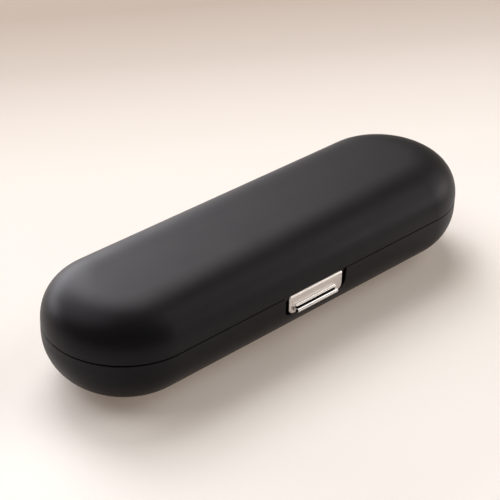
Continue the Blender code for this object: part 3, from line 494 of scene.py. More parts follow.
# %% [markdown]
# ## Base shell
# The base is a deep tray with a round lower edge and a small rounded rim. A pocket for the latch flap is
# sunk into a thicker block of its front wall. The pocket could be cut with a plain prism, but a moulded
# pocket has a rounded mouth that catches a thin line of light, so the cutting tool flares like a trumpet
# where it meets the wall.

# %% Base shell
WALL, BASE_CORNER, BASE_RIM = 2.2, 22, 25.7
BASE_FLAT = HALF_WIDTH - BASE_CORNER
RIM_ROUND, INNER_ROUND, RIM_STEP = 0.35, 0.3, 0.2
POCKET_LOW, POCKET_CORNER, POCKET_FLOOR, POCKET_BACK = 15.9, 3.5, -29, -27.2
POCKET_TOP, POCKET_TOP_HALF, POCKET_LOW_HALF, POCKET_MIDDLE = 27.9, 18.38, 17.3, 23
MOUTH_ROUND, MOUTH_TURNS = 0.35, (20, 32, 44, 56, 68, 79, 90)
BLOCK = [(-32.2, 25.6), (-32.2, 14.2), (-30.2, 11.7), (POCKET_BACK, 14.2), (POCKET_BACK, 25.6)]
BLOCK_HALF = 20.1
POST = [(0, 2), (3, 2), (3, 23), (2.7, 23.3), (1.2, 23.3), (1.2, 16.9), (0, 16.9)]
POST_PLACES = ((-87, -10), (87, -10), (0, -16.5))


def base_face(height):
    """Distance from the middle line to the base's outer face at a height."""
    drop = max(BASE_CORNER - height, 0)
    return BASE_FLAT + math.sqrt(BASE_CORNER**2 - drop**2)


def pocket_tool():
    """Trumpet-mouthed tool for the latch pocket."""
    half, corner = POCKET_LOW_HALF, POCKET_CORNER
    outline = rounded([(POCKET_TOP_HALF, POCKET_TOP, 0), (half, POCKET_LOW, corner),
                       (-half, POCKET_LOW, corner), (-POCKET_TOP_HALF, POCKET_TOP, 0)], step=6)
    mouth = []
    for swell, depth in soft_edge(MOUTH_ROUND, MOUTH_TURNS):
        ring = []
        for i, (u, v) in enumerate(outline):
            along = Vector(outline[(i + 1) % len(outline)]) - Vector(outline[i - 1])
            normal = Vector((-along.y, along.x)).normalized()
            if normal.dot(Vector((u, v - POCKET_MIDDLE))) < 0:
                normal = -normal
            out = Vector((u, v)) + normal * swell
            ring.append((out.x, -base_face(out.y) + depth, out.y))
        mouth.append(ring)
    front = [(x, -HALF_WIDTH - 2, z) for x, _, z in mouth[0]]
    back_ring = [(u, POCKET_FLOOR, v) for u, v in outline]
    return skin("pocket tool", [front, *mouth, back_ring])


outer = [(0, 0), (BASE_FLAT - 1, 0), *arc((BASE_FLAT, BASE_CORNER), BASE_CORNER, -90, 0, 44)]
outer.append((HALF_WIDTH, BASE_RIM - RIM_ROUND - RIM_STEP))
rim = arc((HALF_WIDTH - RIM_ROUND, BASE_RIM - RIM_ROUND), RIM_ROUND, 0, 90, 6)
rim += arc((HALF_WIDTH - WALL + INNER_ROUND, BASE_RIM - INNER_ROUND), INNER_ROUND, 90, 180, 4)
inner = [*arc((BASE_FLAT, BASE_CORNER), BASE_CORNER - WALL, 0, -90, 24), (0, WALL)]
base = capsule("soft_touch_base", outer + rim + inner, END_CENTRE)
carve(base, bar("block", BLOCK, -BLOCK_HALF, BLOCK_HALF), operation="UNION")
for x, y in POST_PLACES:
    carve(base, spun("post", POST, (x, y, 0), (0, 0, 1)), operation="UNION")
carve(base, pocket_tool())
for station in HINGE_STATIONS:
    lid_spans, base_spans = knuckle_spans(station)
    add_knuckles(base, base_spans, lid_spans, -1)
put(base, "base", lacquer, "base_shell")

# %% [markdown]
# ## Lid shell
# The lid rises from the rim in a full, squarish shoulder that ends in a narrow, nearly flat strip along
# the middle. A round fillet between a wall and a flat would show a hard start and end in its reflections,
# so the shoulder follows a superellipse, whose bend grows and fades smoothly. The top is left bare.

# %% Lid shell
LID_RIM, LID_RISE, TOP_FLAT, TOP_CROWN = 26.1, 19.3, 10, 0.1
SHOULDER_POWER, SHOULDER_START = 2.4, 0.9
BRACKET_SEAT = [(-32.2, 26.2), (-30.6, 26.2), (-30.6, 33.7), (-32.2, 33.7)]
SEAT_HALF = 18.5


def shoulder(inset, start_height, steps):
    """Section of the lid from a height above the seam to the edge of its flat top, an inset inside."""
    rise, reach, power = LID_RISE - TOP_CROWN - inset, HALF_WIDTH - inset - TOP_FLAT, 2 / SHOULDER_POWER
    start = math.asin((start_height / rise) ** (1 / power))
    turns = [start + (math.pi / 2 - start) * i / steps for i in range(steps + 1)]
    return [(TOP_FLAT + reach * max(math.cos(a), 0) ** power, SEAM + rise * math.sin(a) ** power)
            for a in turns]


def dome(inset, steps):
    """Section of the lid's gently domed top, from the edge of the flat to the middle."""
    radii = [TOP_FLAT * (1 - i / steps) for i in range(1, steps + 1)]
    return [(r, SEAM + LID_RISE - inset - TOP_CROWN * (r / TOP_FLAT) ** 2) for r in radii]


def lid_height(inset, distance):
    """Height of the face an inset inside the lid's outer face, at a distance from the middle line."""
    past = max(distance - TOP_FLAT, 0) / (HALF_WIDTH - inset - TOP_FLAT)
    sag = TOP_CROWN * min(distance / TOP_FLAT, 1) ** 2
    return SEAM + (LID_RISE - inset - sag) * (1 - past**SHOULDER_POWER) ** (1 / SHOULDER_POWER)


inner = [*reversed(shoulder(WALL, SHOULDER_START, 28) + dome(WALL, 6))]
rim = arc((HALF_WIDTH - WALL + INNER_ROUND, LID_RIM + INNER_ROUND), INNER_ROUND, 180, 270, 4)
rim += arc((HALF_WIDTH - RIM_ROUND, LID_RIM + RIM_ROUND), RIM_ROUND, -90, 0, 6)
outer = shoulder(0, SHOULDER_START, 64) + dome(0, 12)
lid = capsule("soft_touch_lid", inner + rim + outer, END_CENTRE)
carve(lid, bar("block", BRACKET_SEAT, -SEAT_HALF, SEAT_HALF), operation="UNION")
for station in HINGE_STATIONS:
    lid_spans, base_spans = knuckle_spans(station)
    add_knuckles(lid, lid_spans, base_spans, 1)
put(lid, "lid", lacquer, "lid_shell")

# %% [markdown]
# ## Tray
# The tray is one moulding of black ABS in the base: a flange with an upstanding tongue that guides the
# lid, a round trough for the handle and two pockets for brush heads. It could be pressed from a sheet
# with a cloth tool, but a moulding has even walls, so outside forms are joined on first and slightly
# smaller hollows are cut from the top. The hollows flare at the flange, because no moulded rim that
# fingers touch is left sharp.

# %% Tray plastic
# The steel mould was eroded by sparks, which leaves fine even pits and a dull face on the ABS.
tray_plastic, tree, shader, place = new_material("spark_textured_abs", "#333234", 0.62, IOR=1.53)
# The real pits are 0.1 mm wide; they are drawn at 0.5 mm so that they show.
pits, flow = noise(tree, place, 0.5, 2, 0.4), noise(tree, place, 30, 2)
feed(tree, shader, Base_Color=mix(tree, flow, "#2E2D2F", "#39383A"), Roughness=mapped(tree, pits, 0.54, 0.7))
relief(tree, shader, pits, 0.25, 0.05)

# %% Tray
TRAY_TOP, TRAY_UNDER, TRAY_EDGE, TRAY_WALL = 25.2, 23.6, 31.5, 1.4
TONGUE_TOP, TONGUE_WIDTH = 27, 1.6
FLANGE_MIDDLE, TOOL_TOP, NOTCH_GAP, NOTCH_LOW = 24.4, 29, 0.3, 20
# half width, floor, lower corner, half straight, flare of the rim, place
HOLLOWS = (
    (15, 8, 15, 75, 1.0, (0, 13)),
    (8.5, 11, 5, 27, 0.8, (-44, -16.5)),
    (8.5, 11, 5, 27, 0.8, (44, -16.5)),
)
TRAY_HOLE = [(0, 22), (1.3, 22), (1.3, 25.05), (1.6, 25.4), (1.6, 28), (0, 28)]


def hollow(half, bottom, corner, steps):
    """Section of a trough or pocket, from its middle up to the end of its round corner."""
    middle = [(0, bottom)] if half > corner else []
    return middle + arc((half - corner, bottom + corner), corner, -90, 0, steps)


def hollow_form(half, bottom, corner, straight, place):
    """Outside of a trough or pocket, up to the middle of the flange."""
    top = [(half, FLANGE_MIDDLE), (0, FLANGE_MIDDLE)]
    return capsule("form", hollow(half, bottom, corner, 18) + top, straight, end_steps=36, place=place)


def hollow_tool(half, bottom, corner, straight, flare, place):
    """Tool for a trough or pocket, flared where it leaves the flange."""
    lip = arc((half + flare, TRAY_TOP - flare), flare, 180, 105, 7)
    section = hollow(half, bottom, corner, 24) + lip + [(lip[-1][0], TOOL_TOP), (0, TOOL_TOP)]
    return capsule("tool", section, straight, end_steps=48, place=place)


def notch_tool(half, back_face, low, high):
    """Upright box that clears room behind the latch, from outside the front wall to a face."""
    corners = [(-half, -35), (half, -35), (half, back_face), (-half, back_face)]
    return skin("tool", [[(x, y, z) for x, y in corners] for z in (low, high)])


tray = capsule("moulded_tray", rounded([
    (0, TRAY_UNDER, 0), (TRAY_EDGE, TRAY_UNDER, 0.3), (TRAY_EDGE, TONGUE_TOP, 0.4),
    (TRAY_EDGE - TONGUE_WIDTH, TONGUE_TOP, 0.4), (TRAY_EDGE - TONGUE_WIDTH, TRAY_TOP, 0.5), (0, TRAY_TOP, 0),
], step=18), END_CENTRE)
for half, bottom, corner, straight, flare, spot in HOLLOWS:
    form = hollow_form(half + TRAY_WALL, bottom - TRAY_WALL, corner + TRAY_WALL, straight, spot)
    carve(tray, form, operation="UNION")
for half, bottom, corner, straight, flare, spot in HOLLOWS:
    carve(tray, hollow_tool(half, bottom, corner, straight, flare, spot))
carve(tray, notch_tool(BLOCK_HALF + NOTCH_GAP, POCKET_BACK + NOTCH_GAP, NOTCH_LOW, TOOL_TOP))
for x, y in POST_PLACES:
    carve(tray, spun("tool", TRAY_HOLE, (x, y, 0), (0, 0, 1)))
put(tray, "base", tray_plastic, "base_tray")

# %% [markdown]
# ## Lid liner
# A thin black polystyrene shell lines the lid. It is drawn over a form by vacuum, which gives it soft
# corners, an even dull face and a slight waviness. It follows the lid's own section a little further in,
# so the same shoulder and dome are used again.

# %% Liner
# Sheet that is drawn over a form turns dull and gets slow waves where it stretched.
liner_sheet, tree, shader, place = new_material("vacuum_formed_polystyrene", "#2B2A2C", 0.7, IOR=1.59)
# The pebble of the real sheet is 0.3 mm wide; it is drawn at 0.8 mm so that it shows.
pebble = add(tree, "TexVoronoi", {"Vector": place, "Scale": per_mm(0.8)}, feature="SMOOTH_F1")
waves = noise(tree, place, 18, 1)
feed(tree, shader, Base_Color=mix(tree, waves, "#272628", "#302F31"), Roughness=mapped(tree, waves, 0.62, 0.78))
relief(tree, shader, pebble.outputs["Distance"], 0.3, 0.06)

LINER_OUT, LINER_IN, LINER_START, LINER_ROUND = 2.5, 3.7, 3.0, 0.3
LINER_NOTCH = (18.8, -28.1, 24, 34)
outer, inner = shoulder(LINER_OUT, LINER_START, 32), shoulder(LINER_IN, LINER_START, 32)
edge = arc((inner[0][0] + LINER_ROUND, SEAM + LINER_START), LINER_ROUND, 180, 270, 4)
edge += arc((outer[0][0] - LINER_ROUND, SEAM + LINER_START), LINER_ROUND, 270, 360, 4)
section = [*reversed(inner[1:] + dome(LINER_IN, 6)), *edge, *outer[1:], *dome(LINER_OUT, 6)]
liner = capsule("formed_liner", section, END_CENTRE, end_steps=72)
carve(liner, notch_tool(*LINER_NOTCH))
put(liner, "lid", liner_sheet, "lid_liner")

# %% [markdown]
# ## Pads
# Two foam pads under the lid press the handle down, and two saddles of silicone rubber in the trough hold
# it. A box with soft edges would look like wood. Real foam bulges in the middle and its sides pull in
# between the corners, so a pad is built from stacked rounded outlines that shrink and dip in that way.

# %% Pad materials
# Foam cut from a block shows open cells that swallow light.
foam, tree, shader, place = new_material("cut_polyurethane_foam", "#2C2B2D", 0.92, Specular_IOR_Level=0.2,
                                         Sheen_Weight=0.15)
# The real cells are about 0.4 mm wide; they are drawn at 0.6 mm so that they show.
cells = add(tree, "TexVoronoi", {"Vector": place, "Scale": per_mm(0.6)}, feature="F1").outputs["Distance"]
feed(tree, shader, Base_Color=mix(tree, cells, "#1C1B1D", "#3A393B"))
relief(tree, shader, cells, 0.6, 0.15)

# Silicone from a blasted mould is dull and a little lighter than the plastic round it.
silicone, tree, shader, place = new_material("moulded_silicone_rubber", "#4A494C", 0.55, IOR=1.41)
# The blasted texture is 0.08 mm in reality; it is drawn at 0.4 mm so that it shows.
grain, bloom = noise(tree, place, 0.4, 3), noise(tree, place, 6, 3)
feed(tree, shader, Base_Color=mix(tree, bloom, "#454447", "#515053"), Roughness=mapped(tree, bloom, 0.45, 0.68))
relief(tree, shader, grain, 0.2, 0.04)

# %% Hold-down pads
SIDES = (("left", -1), ("right", 1))
PAD_PLACE, PAD_HALF, PAD_LOW, PAD_INSET = (50, 13), (15, 8), 36.03, 4.0
PAD_CORNER, PAD_PULL, PAD_CROWN = 3, 0.3, 0.7
PAD_ROUND, PAD_DROP = 1.1, 0.9
# inset of the outlines that hang from the liner, and their height above it
PAD_GLUED = [(6, 0), (3.5, 0), (1, 0), (0.35, 0), (0.1, -0.12), (0, -0.45), (0.05, -1.1)]


def foam_pad(name, x_place):
    """Crowned pad: outlines stacked from the glued face, which follows the liner, to the bulging free face."""
    hx, hy = PAD_HALF
    free = [(PAD_ROUND * (1 - math.cos(a)), PAD_CROWN + PAD_DROP * (1 - math.sin(a)))
            for a in map(math.radians, range(0, 91, 15))]
    for share in (0.15, 0.35, 0.6, 0.9):
        free.append((PAD_ROUND + share * (hy - PAD_ROUND - 0.2), PAD_CROWN * (1 - share) ** 2))
    rings = []
    for i, (inset, level) in enumerate(PAD_GLUED + free):
        w, d = hx - inset, hy - inset
        corner = min(max(PAD_CORNER - inset * 0.5, 0.2), d * 0.9)
        ring = []
        for x, y in rounded([(w, d, corner), (-w, d, corner), (-w, -d, corner), (w, -d, corner)]):
            pull = PAD_PULL * (1 - inset / hy)
            y -= math.copysign(pull * max(1 - (x / hx) ** 2, 0) * (abs(y) / d) ** 4, y)
            x -= math.copysign(pull * max(1 - (y / hy) ** 2, 0) * (abs(x) / w) ** 4, x)
            start = lid_height(PAD_INSET, PAD_PLACE[1] + y) if i < len(PAD_GLUED) else PAD_LOW
            ring.append((x_place + x, PAD_PLACE[1] + y, start + level))
        rings.append(ring)
    return skin(name, rings, angle=60)


for side, way in SIDES:
    pad = foam_pad("foam_pad_" + side, way * PAD_PLACE[0])
    put(pad, "lid", foam, "hold_down_pad_" + side)

# %% Rubber saddles
SADDLE_PLACE, SADDLE_HALF, SADDLE_AXIS = 50, 8, (13, 23)
SADDLE_OUTER, SADDLE_INNER, SADDLE_ANGLE = 14.7, 13.6, 55
SADDLE_SOFT, SADDLE_INSET, SADDLE_BEVEL, SADDLE_STEPS = 0.4, 0.35, 0.6, 96
RIB_PITCH, RIB_DEPTH = 2, 0.3


def saddle(name, x_place):
    """Curved rubber pad whose inner face has ribs across the handle."""
    rings = []
    for i in range(SADDLE_STEPS + 1):
        x = -SADDLE_HALF + 2 * SADDLE_HALF * i / SADDLE_STEPS
        end = max(SADDLE_SOFT - (SADDLE_HALF - abs(x)), 0) / SADDLE_SOFT
        inset = SADDLE_INSET * (1 - math.sqrt(max(1 - end**2, 0)))
        groove = (0.5 - 0.5 * math.cos(2 * math.pi * x / RIB_PITCH)) ** 3 * RIB_DEPTH
        low, high = SADDLE_INNER + groove + inset, SADDLE_OUTER - inset
        reach = SADDLE_ANGLE - math.degrees(inset / high)
        ring = arc(SADDLE_AXIS, high, -90 - reach, -90 + reach, 40)
        ring += arc(SADDLE_AXIS, low, -90 + reach - SADDLE_BEVEL, -90 - reach + SADDLE_BEVEL, 40)
        rings.append([(x_place + x, y, z) for y, z in ring])
    return skin(name, rings, angle=50)


for side, way in SIDES:
    pad = saddle("rubber_saddle_" + side, way * SADDLE_PLACE)
    put(pad, "base", silicone, "cradle_pad_" + side)

# %% [markdown]
# ## Metals
# The latch is where the case shines, and no two of its metals are finished alike. The flap is stainless
# steel with a fine satin brushing along its length, which draws reflections out into soft streaks. Its
# lip is chrome-plated and polished, so it mirrors the lamps in hard lines. The pins are ground, the
# screws zinc-plated, the bracket is blackened, and spring and catch keep the grey of drawn wire and
# rolled strip. A metal's colour is its reflection, so only the roughness varies.

# %% Metal finishes
def streaked_metal(name, colour, roughness, vary, width, stretch, strength):
    """Metal with streaks from brushing, grinding or drawing: width in millimetres, stretched along an axis."""
    material, tree, shader, place = new_material(name, colour, roughness, Metallic=1)
    drawn = add(tree, "VectorMath", {0: place, 1: stretch}, operation="MULTIPLY").outputs["Vector"]
    streaks, spots = noise(tree, drawn, width, 4, 0.6), noise(tree, place, 5, 3)
    both = add(tree, "Math", {0: streaks, 1: spots}, operation="MULTIPLY").outputs["Value"]
    feed(tree, shader, Roughness=mapped(tree, both, roughness - vary, roughness + vary, 0.12, 0.4))
    relief(tree, shader, streaks, strength, 0.01)
    return material


# Brush lines are 0.03 mm apart in reality and are drawn 0.12 mm apart. They stay shallow, because a strong
# pattern that is finer than a pixel turns into blotches.
satin_steel = streaked_metal("brushed_stainless_steel", "#D6D0CC", 0.3, 0.03, 0.12, (0.03, 1, 1), 0.06)
# Polishing leaves almost nothing: faint haze and no lines to speak of.
chrome = streaked_metal("polished_chrome_plate", "#EDEBEA", 0.07, 0.03, 0.6, (0.3, 1, 1), 0.03)
# Grinding runs round a pin, so the streaks are drawn out across it.
ground_steel = streaked_metal("ground_steel", "#C4C1BD", 0.28, 0.08, 0.15, (1, 0.1, 0.1), 0.2)
# Zinc plate has a fine cloudy bloom without a direction, and so has the black oxide.
zinc = streaked_metal("bright_zinc_plate", "#B9BABB", 0.34, 0.1, 0.4, (1, 1, 1), 0.25)
black_steel = streaked_metal("black_oxide_steel", "#3B3A3B", 0.42, 0.1, 0.3, (1, 1, 1), 0.2)
# Wire and strip keep the lines of the die and the rolls that drew them out.
wire_steel = streaked_metal("drawn_spring_wire", "#A9A7A4", 0.26, 0.07, 0.2, (1, 1, 0.2), 0.2)
strip_steel = streaked_metal("rolled_spring_strip", "#9C9CA1", 0.3, 0.08, 0.2, (0.05, 1, 1), 0.25)
# Dark, dull steel that paints shade into the lip's slot, with coarse tool marks.
slot_shade_steel = streaked_metal("dull_steel_for_painted_slot_shade", "#2B2927", 0.6, 0.1, 0.3, (0.2, 1, 1), 0.3)

# %% [markdown]
# ## Latch flap
# The flap is a small plate with rounded lower corners and softened edges. A Bevel modifier would soften
# them, but its widths pinch at tight corners. Here the plate is stacked from outlines that grow from the
# front face back along a quarter circle, so the edge stays even all round and catches one clean line of
# light. Behind it are a barrel for the pin and a rib for the catch.

# %% Flap plate
PLATE_HALF, PLATE_TOP, PLATE_LOW, PLATE_FRONT, PLATE_BACK = 15.8, 25.8, 16.4, -34.0, -32.1
PLATE_CORNER, PLATE_SOFT = 3, 0.7
PLATE_DROP, PLATE_SLOPE, PLATE_TOP_SHARE = 0.8, 0.56, 0.6
LATCH_AXIS = (-31.8, 24.2)
PIN_HOLE = 0.7
BARREL_HALF, BARREL_RADIUS = 14.8, 1.2
SPRING_BAY = [(-32.2, 20), (-28, 20), (-28, 28), (-32.2, 28)]
BAY_HALF, SPRING_HALF, SPRING_ROOM = 2.35, 2.25, 1.1
FLAP_RIB = [(-32.6, 18.2, 0), (-30.9, 18.2, 0.25), (-30.9, 19.4, 0.35), (-32.6, 19.4, 0)]
RIB_HALF = 4


def plate_outline(inset, y):
    """The plate's outline at a depth. Its top leans back, to clear the lid's rim when the flap opens."""
    w, low, corner = PLATE_HALF - inset, PLATE_LOW + inset, PLATE_CORNER - inset
    high = min(PLATE_TOP, PLATE_TOP - PLATE_DROP + PLATE_SLOPE * (y - PLATE_FRONT)) - PLATE_TOP_SHARE * inset
    top = 1 - inset
    return rounded([(w, high, top), (w, low, corner), (-w, low, corner), (-w, high, top)], step=5)


def latch_tool(half, radius):
    """A round tool or bar along the latch pin's line."""
    return rod(radius, -half, half, (0, *LATCH_AXIS))


levels = [(inset, PLATE_FRONT + depth) for inset, depth in soft_edge(PLATE_SOFT, range(0, 91, 10))]
levels += [(0, PLATE_FRONT + PLATE_DROP / PLATE_SLOPE), (0.06, PLATE_BACK - 0.1), (0.2, PLATE_BACK)]
plate = skin("flap_plate", [[(x, y, z) for x, z in plate_outline(inset, y)] for inset, y in levels])
carve(plate, latch_tool(BARREL_HALF, BARREL_RADIUS), operation="UNION")
carve(plate, bar("rib", rounded(FLAP_RIB), -RIB_HALF, RIB_HALF), operation="UNION")
carve(plate, latch_tool(18, PIN_HOLE))
carve(plate, bar("tool", SPRING_BAY, -BAY_HALF, BAY_HALF))
carve(plate, latch_tool(SPRING_HALF, SPRING_ROOM))
put(plate, "flap", satin_steel, "latch_plate")

# %% [markdown]
# ## Finger lip
# The lip for the finger is one polished bar with a thin ledge above and a round nose below, and a slot
# between them. It could be two rods, but then the slot would be as wide as their curves make it. One
# outline of straight runs and arcs sets both freely. The faces in the narrow slot get a dark, dull metal as
# painted shade, and that gives the dark line between two bright ones. At its ends one looks into the
# hollow nose, so that is bored out.

# %% Finger lip
LIP_LEFT, LIP_RIGHT, LIP_ROOT, LIP_WEB, LIP_SOFT = -12.5, 11.1, -33.8, -34.15, 0.08
LEDGE_TOP, LEDGE_LOW, LEDGE_REACH, LEDGE_ROUND, LEDGE_FILLET = 20.4, 20.18, -35.2, 0.11, 0.35
NOSE, NOSE_RADIUS, NOSE_BORE, BORE_DEPTH = (-35.2, 18.2), 1.0, 0.72, 2.5
SLOT_FLOOR, SLOT_ROUND, SLOT_MIDDLE, SLOT_FRONT = 18.7, 0.2, 19.2, NOSE[0] + 0.25
meeting = math.degrees(math.asin((SLOT_FLOOR - NOSE[1]) / NOSE_RADIUS))
fillet = arc((PLATE_FRONT - LEDGE_FILLET, LEDGE_TOP + LEDGE_FILLET), LEDGE_FILLET, 270, 360, 12)
outline = [
    (LIP_ROOT, LEDGE_TOP + LEDGE_FILLET),
    *reversed(fillet),
    *arc((LEDGE_REACH + LEDGE_ROUND, LEDGE_TOP - LEDGE_ROUND), LEDGE_ROUND, 90, 270, 12),
    *arc((LIP_WEB - SLOT_ROUND, LEDGE_LOW - SLOT_ROUND), SLOT_ROUND, 90, 0, 4),
    (LIP_WEB, SLOT_FLOOR),
    *arc(NOSE, NOSE_RADIUS, meeting, 270, 40),
    (LIP_ROOT, NOSE[1] - NOSE_RADIUS),
]
lip = bar("finger_lip_bar", outline, LIP_LEFT, LIP_RIGHT, edge=LIP_SOFT)
for start, end in ((LIP_LEFT - 1, LIP_LEFT + BORE_DEPTH), (LIP_RIGHT - BORE_DEPTH, LIP_RIGHT + 1)):
    carve(lip, rod(NOSE_BORE, start, end, (0, *NOSE), steps=32))
put(lip, "flap", chrome, "finger_lip")
# The faces in the slot under the ledge get the dark steel, as painted shade in the crease.
lip.data.materials.append(slot_shade_steel)
for face in lip.data.polygons:
    y, z = face.center.y / MM, face.center.z / MM
    below_ledge = z < LEDGE_LOW + 0.01
    in_slot = z > SLOT_MIDDLE or z > SLOT_FLOOR - 0.1 and y > SLOT_FRONT
    if below_ledge and in_slot and abs(face.normal.x) < 0.5:
        face.material_index = 1

# %% Rivets
RIVET_PLACE, RIVET_HEAD, RIVET_HEIGHT, RIVET_SHANK, RIVET_LENGTH = (8, -31.98, 18.85), 1.1, 0.45, 0.5, 1.6
turns = [math.radians(turn) for turn in range(0, 91, 10)]
section = [(RIVET_HEAD * math.sin(a), RIVET_HEIGHT * math.cos(a)) for a in turns]
section += [(RIVET_SHANK, 0), (RIVET_SHANK, -RIVET_LENGTH), (0, -RIVET_LENGTH)]
for side, way in SIDES:
    rivet = spun("rivet_head_" + side, section, (way * RIVET_PLACE[0], *RIVET_PLACE[1:]), (0, 1, 0))
    put(rivet, "flap", ground_steel, "lip_rivet_" + side)

# %% [markdown]
# ## Latch bracket, pin, spring and catch
# A bent strip screwed inside the lid's front wall carries the flap on a pin, and a small coil spring
# round the pin presses the flap home. In the pocket of the base a bowed strip of spring steel snaps over
# the flap's rib.

# %% Bracket and pin
EAR_IN, EAR_OUT, EAR_RADIUS, EAR_TOP, EAR_SOFT = 16.1, 17.3, 1.25, 28, 0.12
STRIP_FRONT, STRIP_BACK, STRIP_LOW, STRIP_HIGH, STRIP_SOFT = -30.3, -29.3, 26.4, 32.4, 0.15
BRACKET_HOLE = [(0, -33), (0.9, -33), (0.9, -27), (0, -27)]
BRACKET_SCREW_X, BRACKET_SCREW_Z = 11, 30.2

ear = [(STRIP_FRONT, EAR_TOP), (STRIP_BACK, EAR_TOP), (STRIP_BACK, LATCH_AXIS[1]),
       *arc(LATCH_AXIS, EAR_RADIUS, -60, -270, 32), (STRIP_FRONT, LATCH_AXIS[1] + EAR_RADIUS)]
strip = rounded([(-EAR_OUT, STRIP_LOW, 0.3), (EAR_OUT, STRIP_LOW, 0.3),
                 (EAR_OUT, STRIP_HIGH, 1), (-EAR_OUT, STRIP_HIGH, 1)])
bracket = bar("bent_bracket", strip, STRIP_FRONT, STRIP_BACK, plane="XZ", edge=STRIP_SOFT)
for side, way in SIDES:
    span = sorted((way * EAR_IN, way * EAR_OUT))
    carve(bracket, bar("ear", ear, *span, edge=EAR_SOFT), operation="UNION")
    carve(bracket, spun("tool", BRACKET_HOLE, (way * BRACKET_SCREW_X, 0, BRACKET_SCREW_Z), (0, 1, 0)))
carve(bracket, latch_tool(20, PIN_HOLE))
put(bracket, "lid", black_steel, "latch_bracket")


def pin(name, half, radius, chamfer, place):
    """A ground pin along X with chamfered ends."""
    section = [(0, -half), (radius - chamfer, -half), (radius, -half + chamfer), (radius, half - chamfer),
               (radius - chamfer, half), (0, half)]
    return spun(name, section, place, (1, 0, 0))


latch_pin = pin("latch_pin_ground", EAR_OUT, 0.5, 0.12, (0, *LATCH_AXIS))
put(latch_pin, "lid", ground_steel, "latch_pin")
for (side, _), station in zip(SIDES, HINGE_STATIONS):
    hinge_pin = pin("hinge_pin_ground_" + side, 12, HINGE_PIN_RADIUS, 0.15, (station, HINGE_Y, SEAM))
    put(hinge_pin, "base", ground_steel, "hinge_pin_" + side)

# %% Spring wire
def wire(name, points, radius):
    """A round wire through points, with flat ends."""
    rings, normal = [], (points[1] - points[0]).orthogonal()
    turns = [math.radians(a) for a in range(0, 360, 30)]
    for i, point in enumerate(points):
        along = (points[min(i + 1, len(points) - 1)] - points[max(i - 1, 0)]).normalized()
        normal = (normal - along * normal.dot(along)).normalized()
        other = along.cross(normal)
        rings.append([point + radius * (math.cos(a) * normal + math.sin(a) * other) for a in turns])
    return skin(name, rings, angle=50)


WIRE, COIL, PITCH, TURNS, TURN_STEPS, LEG = 0.15, 0.85, 0.85, 4, 24, 2.2
coil = []
for i in range(TURNS * TURN_STEPS + 1):
    a = 2 * math.pi * i / TURN_STEPS
    coil.append(Vector((PITCH * (i / TURN_STEPS - TURNS / 2), LATCH_AXIS[0] + COIL * math.cos(a),
                        LATCH_AXIS[1] + COIL * math.sin(a))))
lower, upper = coil[0] - Vector((0, 0, LEG)), coil[-1] + Vector((0, 0, LEG / 2))
tail = Vector((0, COIL, LEG / 4))
path = [lower - tail, lower, (lower + coil[0]) / 2, *coil, (upper + coil[-1]) / 2, upper, upper + tail]
put(wire("coil_spring", path, WIRE), "lid", wire_steel, "latch_spring")

# %% Catch strip
CATCH_FRONT, CATCH_THICK, CATCH_HALF, FOOT_HALF = -29.3, 0.4, 4, 9.6
CATCH_FOOT, CATCH_TOP, CATCH_BOW, CATCH_REACH, CATCH_STEPS = 16.6, 18.5, 4.8, 1.7, 32
shares = [i / CATCH_STEPS for i in range(CATCH_STEPS + 1)]
inside = [(CATCH_FRONT - CATCH_REACH * math.sin(math.pi * s) ** 2, CATCH_TOP + CATCH_BOW * s) for s in shares]
outside = [(y - CATCH_THICK, z) for y, z in inside]
outline = [(CATCH_FRONT, CATCH_FOOT), *inside, *reversed(outside), (CATCH_FRONT - CATCH_THICK, CATCH_FOOT)]
bow = bar("bowed_catch", outline, -CATCH_HALF, CATCH_HALF, edge=0.05)
foot = rounded([(-FOOT_HALF, CATCH_FOOT, 0.5), (FOOT_HALF, CATCH_FOOT, 0.5),
                (FOOT_HALF, CATCH_TOP, 0.5), (-FOOT_HALF, CATCH_TOP, 0.5)])
foot = bar("foot", foot, CATCH_FRONT - CATCH_THICK + 0.01, CATCH_FRONT - 0.01, plane="XZ")
carve(bow, foot, operation="UNION")
put(bow, "base", strip_steel, "catch_clip")

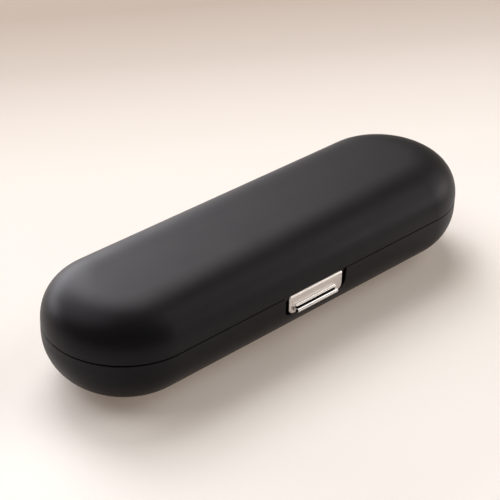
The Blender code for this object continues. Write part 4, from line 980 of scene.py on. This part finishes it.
# %% [markdown]
# ## Screws
# Every screw is a pan head with a cross recess. A plain disc would read as a rivet, so the head is turned
# from a domed section and a tapered cross is cut into it.

# %% Screws
def screw(name, sizes, seat, toward):
    """Pan head, cross recess and plain shank; sizes are head radius, head height, shank radius and length."""
    radius, height, shank, length = sizes
    crown = [(radius * math.sin(math.radians(a)), height * (0.45 + 0.55 * math.cos(math.radians(a))))
             for a in range(0, 91, 10)]
    section = [*crown, (radius, 0.06), (radius - 0.06, 0), (shank, 0), (shank, -length + shank), (0, -length)]
    piece = spun(name, section, seat, toward, steps=40)
    turn = Vector((0, 0, 1)).rotation_difference(Vector(toward)).to_matrix()
    rings = []
    # height of the recess's mouth and floor, and length and half width of its arms as shares of the head
    for level, reach, half in ((height + 0.2, 0.62, 0.17), (height * 0.3, 0.4, 0.1)):
        r, w = radius * reach, radius * half
        arm = [(r, -w), (r, w), (w, w)]
        cross = [(u * c - v * s, u * s + v * c) for c, s in ((1, 0), (0, 1), (-1, 0), (0, -1)) for u, v in arm]
        rings.append([Vector(seat) + turn @ Vector((x, y, level)) for x, y in cross])
    return carve(piece, skin("tool", rings))


SMALL, MIDDLE, LARGE = (1.2, 0.5, 0.5, 1.5), (1.5, 0.9, 0.7, 3), (2.4, 1.2, 1, 8)
# name, sizes, seat of the right one of the pair, direction of the head, body
PAIRS = (
    ("catch_screw", SMALL, (7.4, -29.85, 17.55), (0, -1, 0), "base"),
    ("bracket_screw", MIDDLE, (BRACKET_SCREW_X, -29.15, BRACKET_SCREW_Z), (0, 1, 0), "lid"),
    ("tray_screw", LARGE, (87, -10, 25.35), (0, 0, 1), "base"),
)
SCREWS = [(f"{stem}_{side}", sizes, (way * seat[0], *seat[1:]), toward, body)
          for stem, sizes, seat, toward, body in PAIRS for side, way in SIDES]
SCREWS.append(("tray_screw_front", LARGE, (0, -16.5, 25.35), (0, 0, 1), "base"))
for node, sizes, seat, toward, body in SCREWS:
    put(screw("cross_head_" + node, sizes, seat, toward), body, zinc, node)
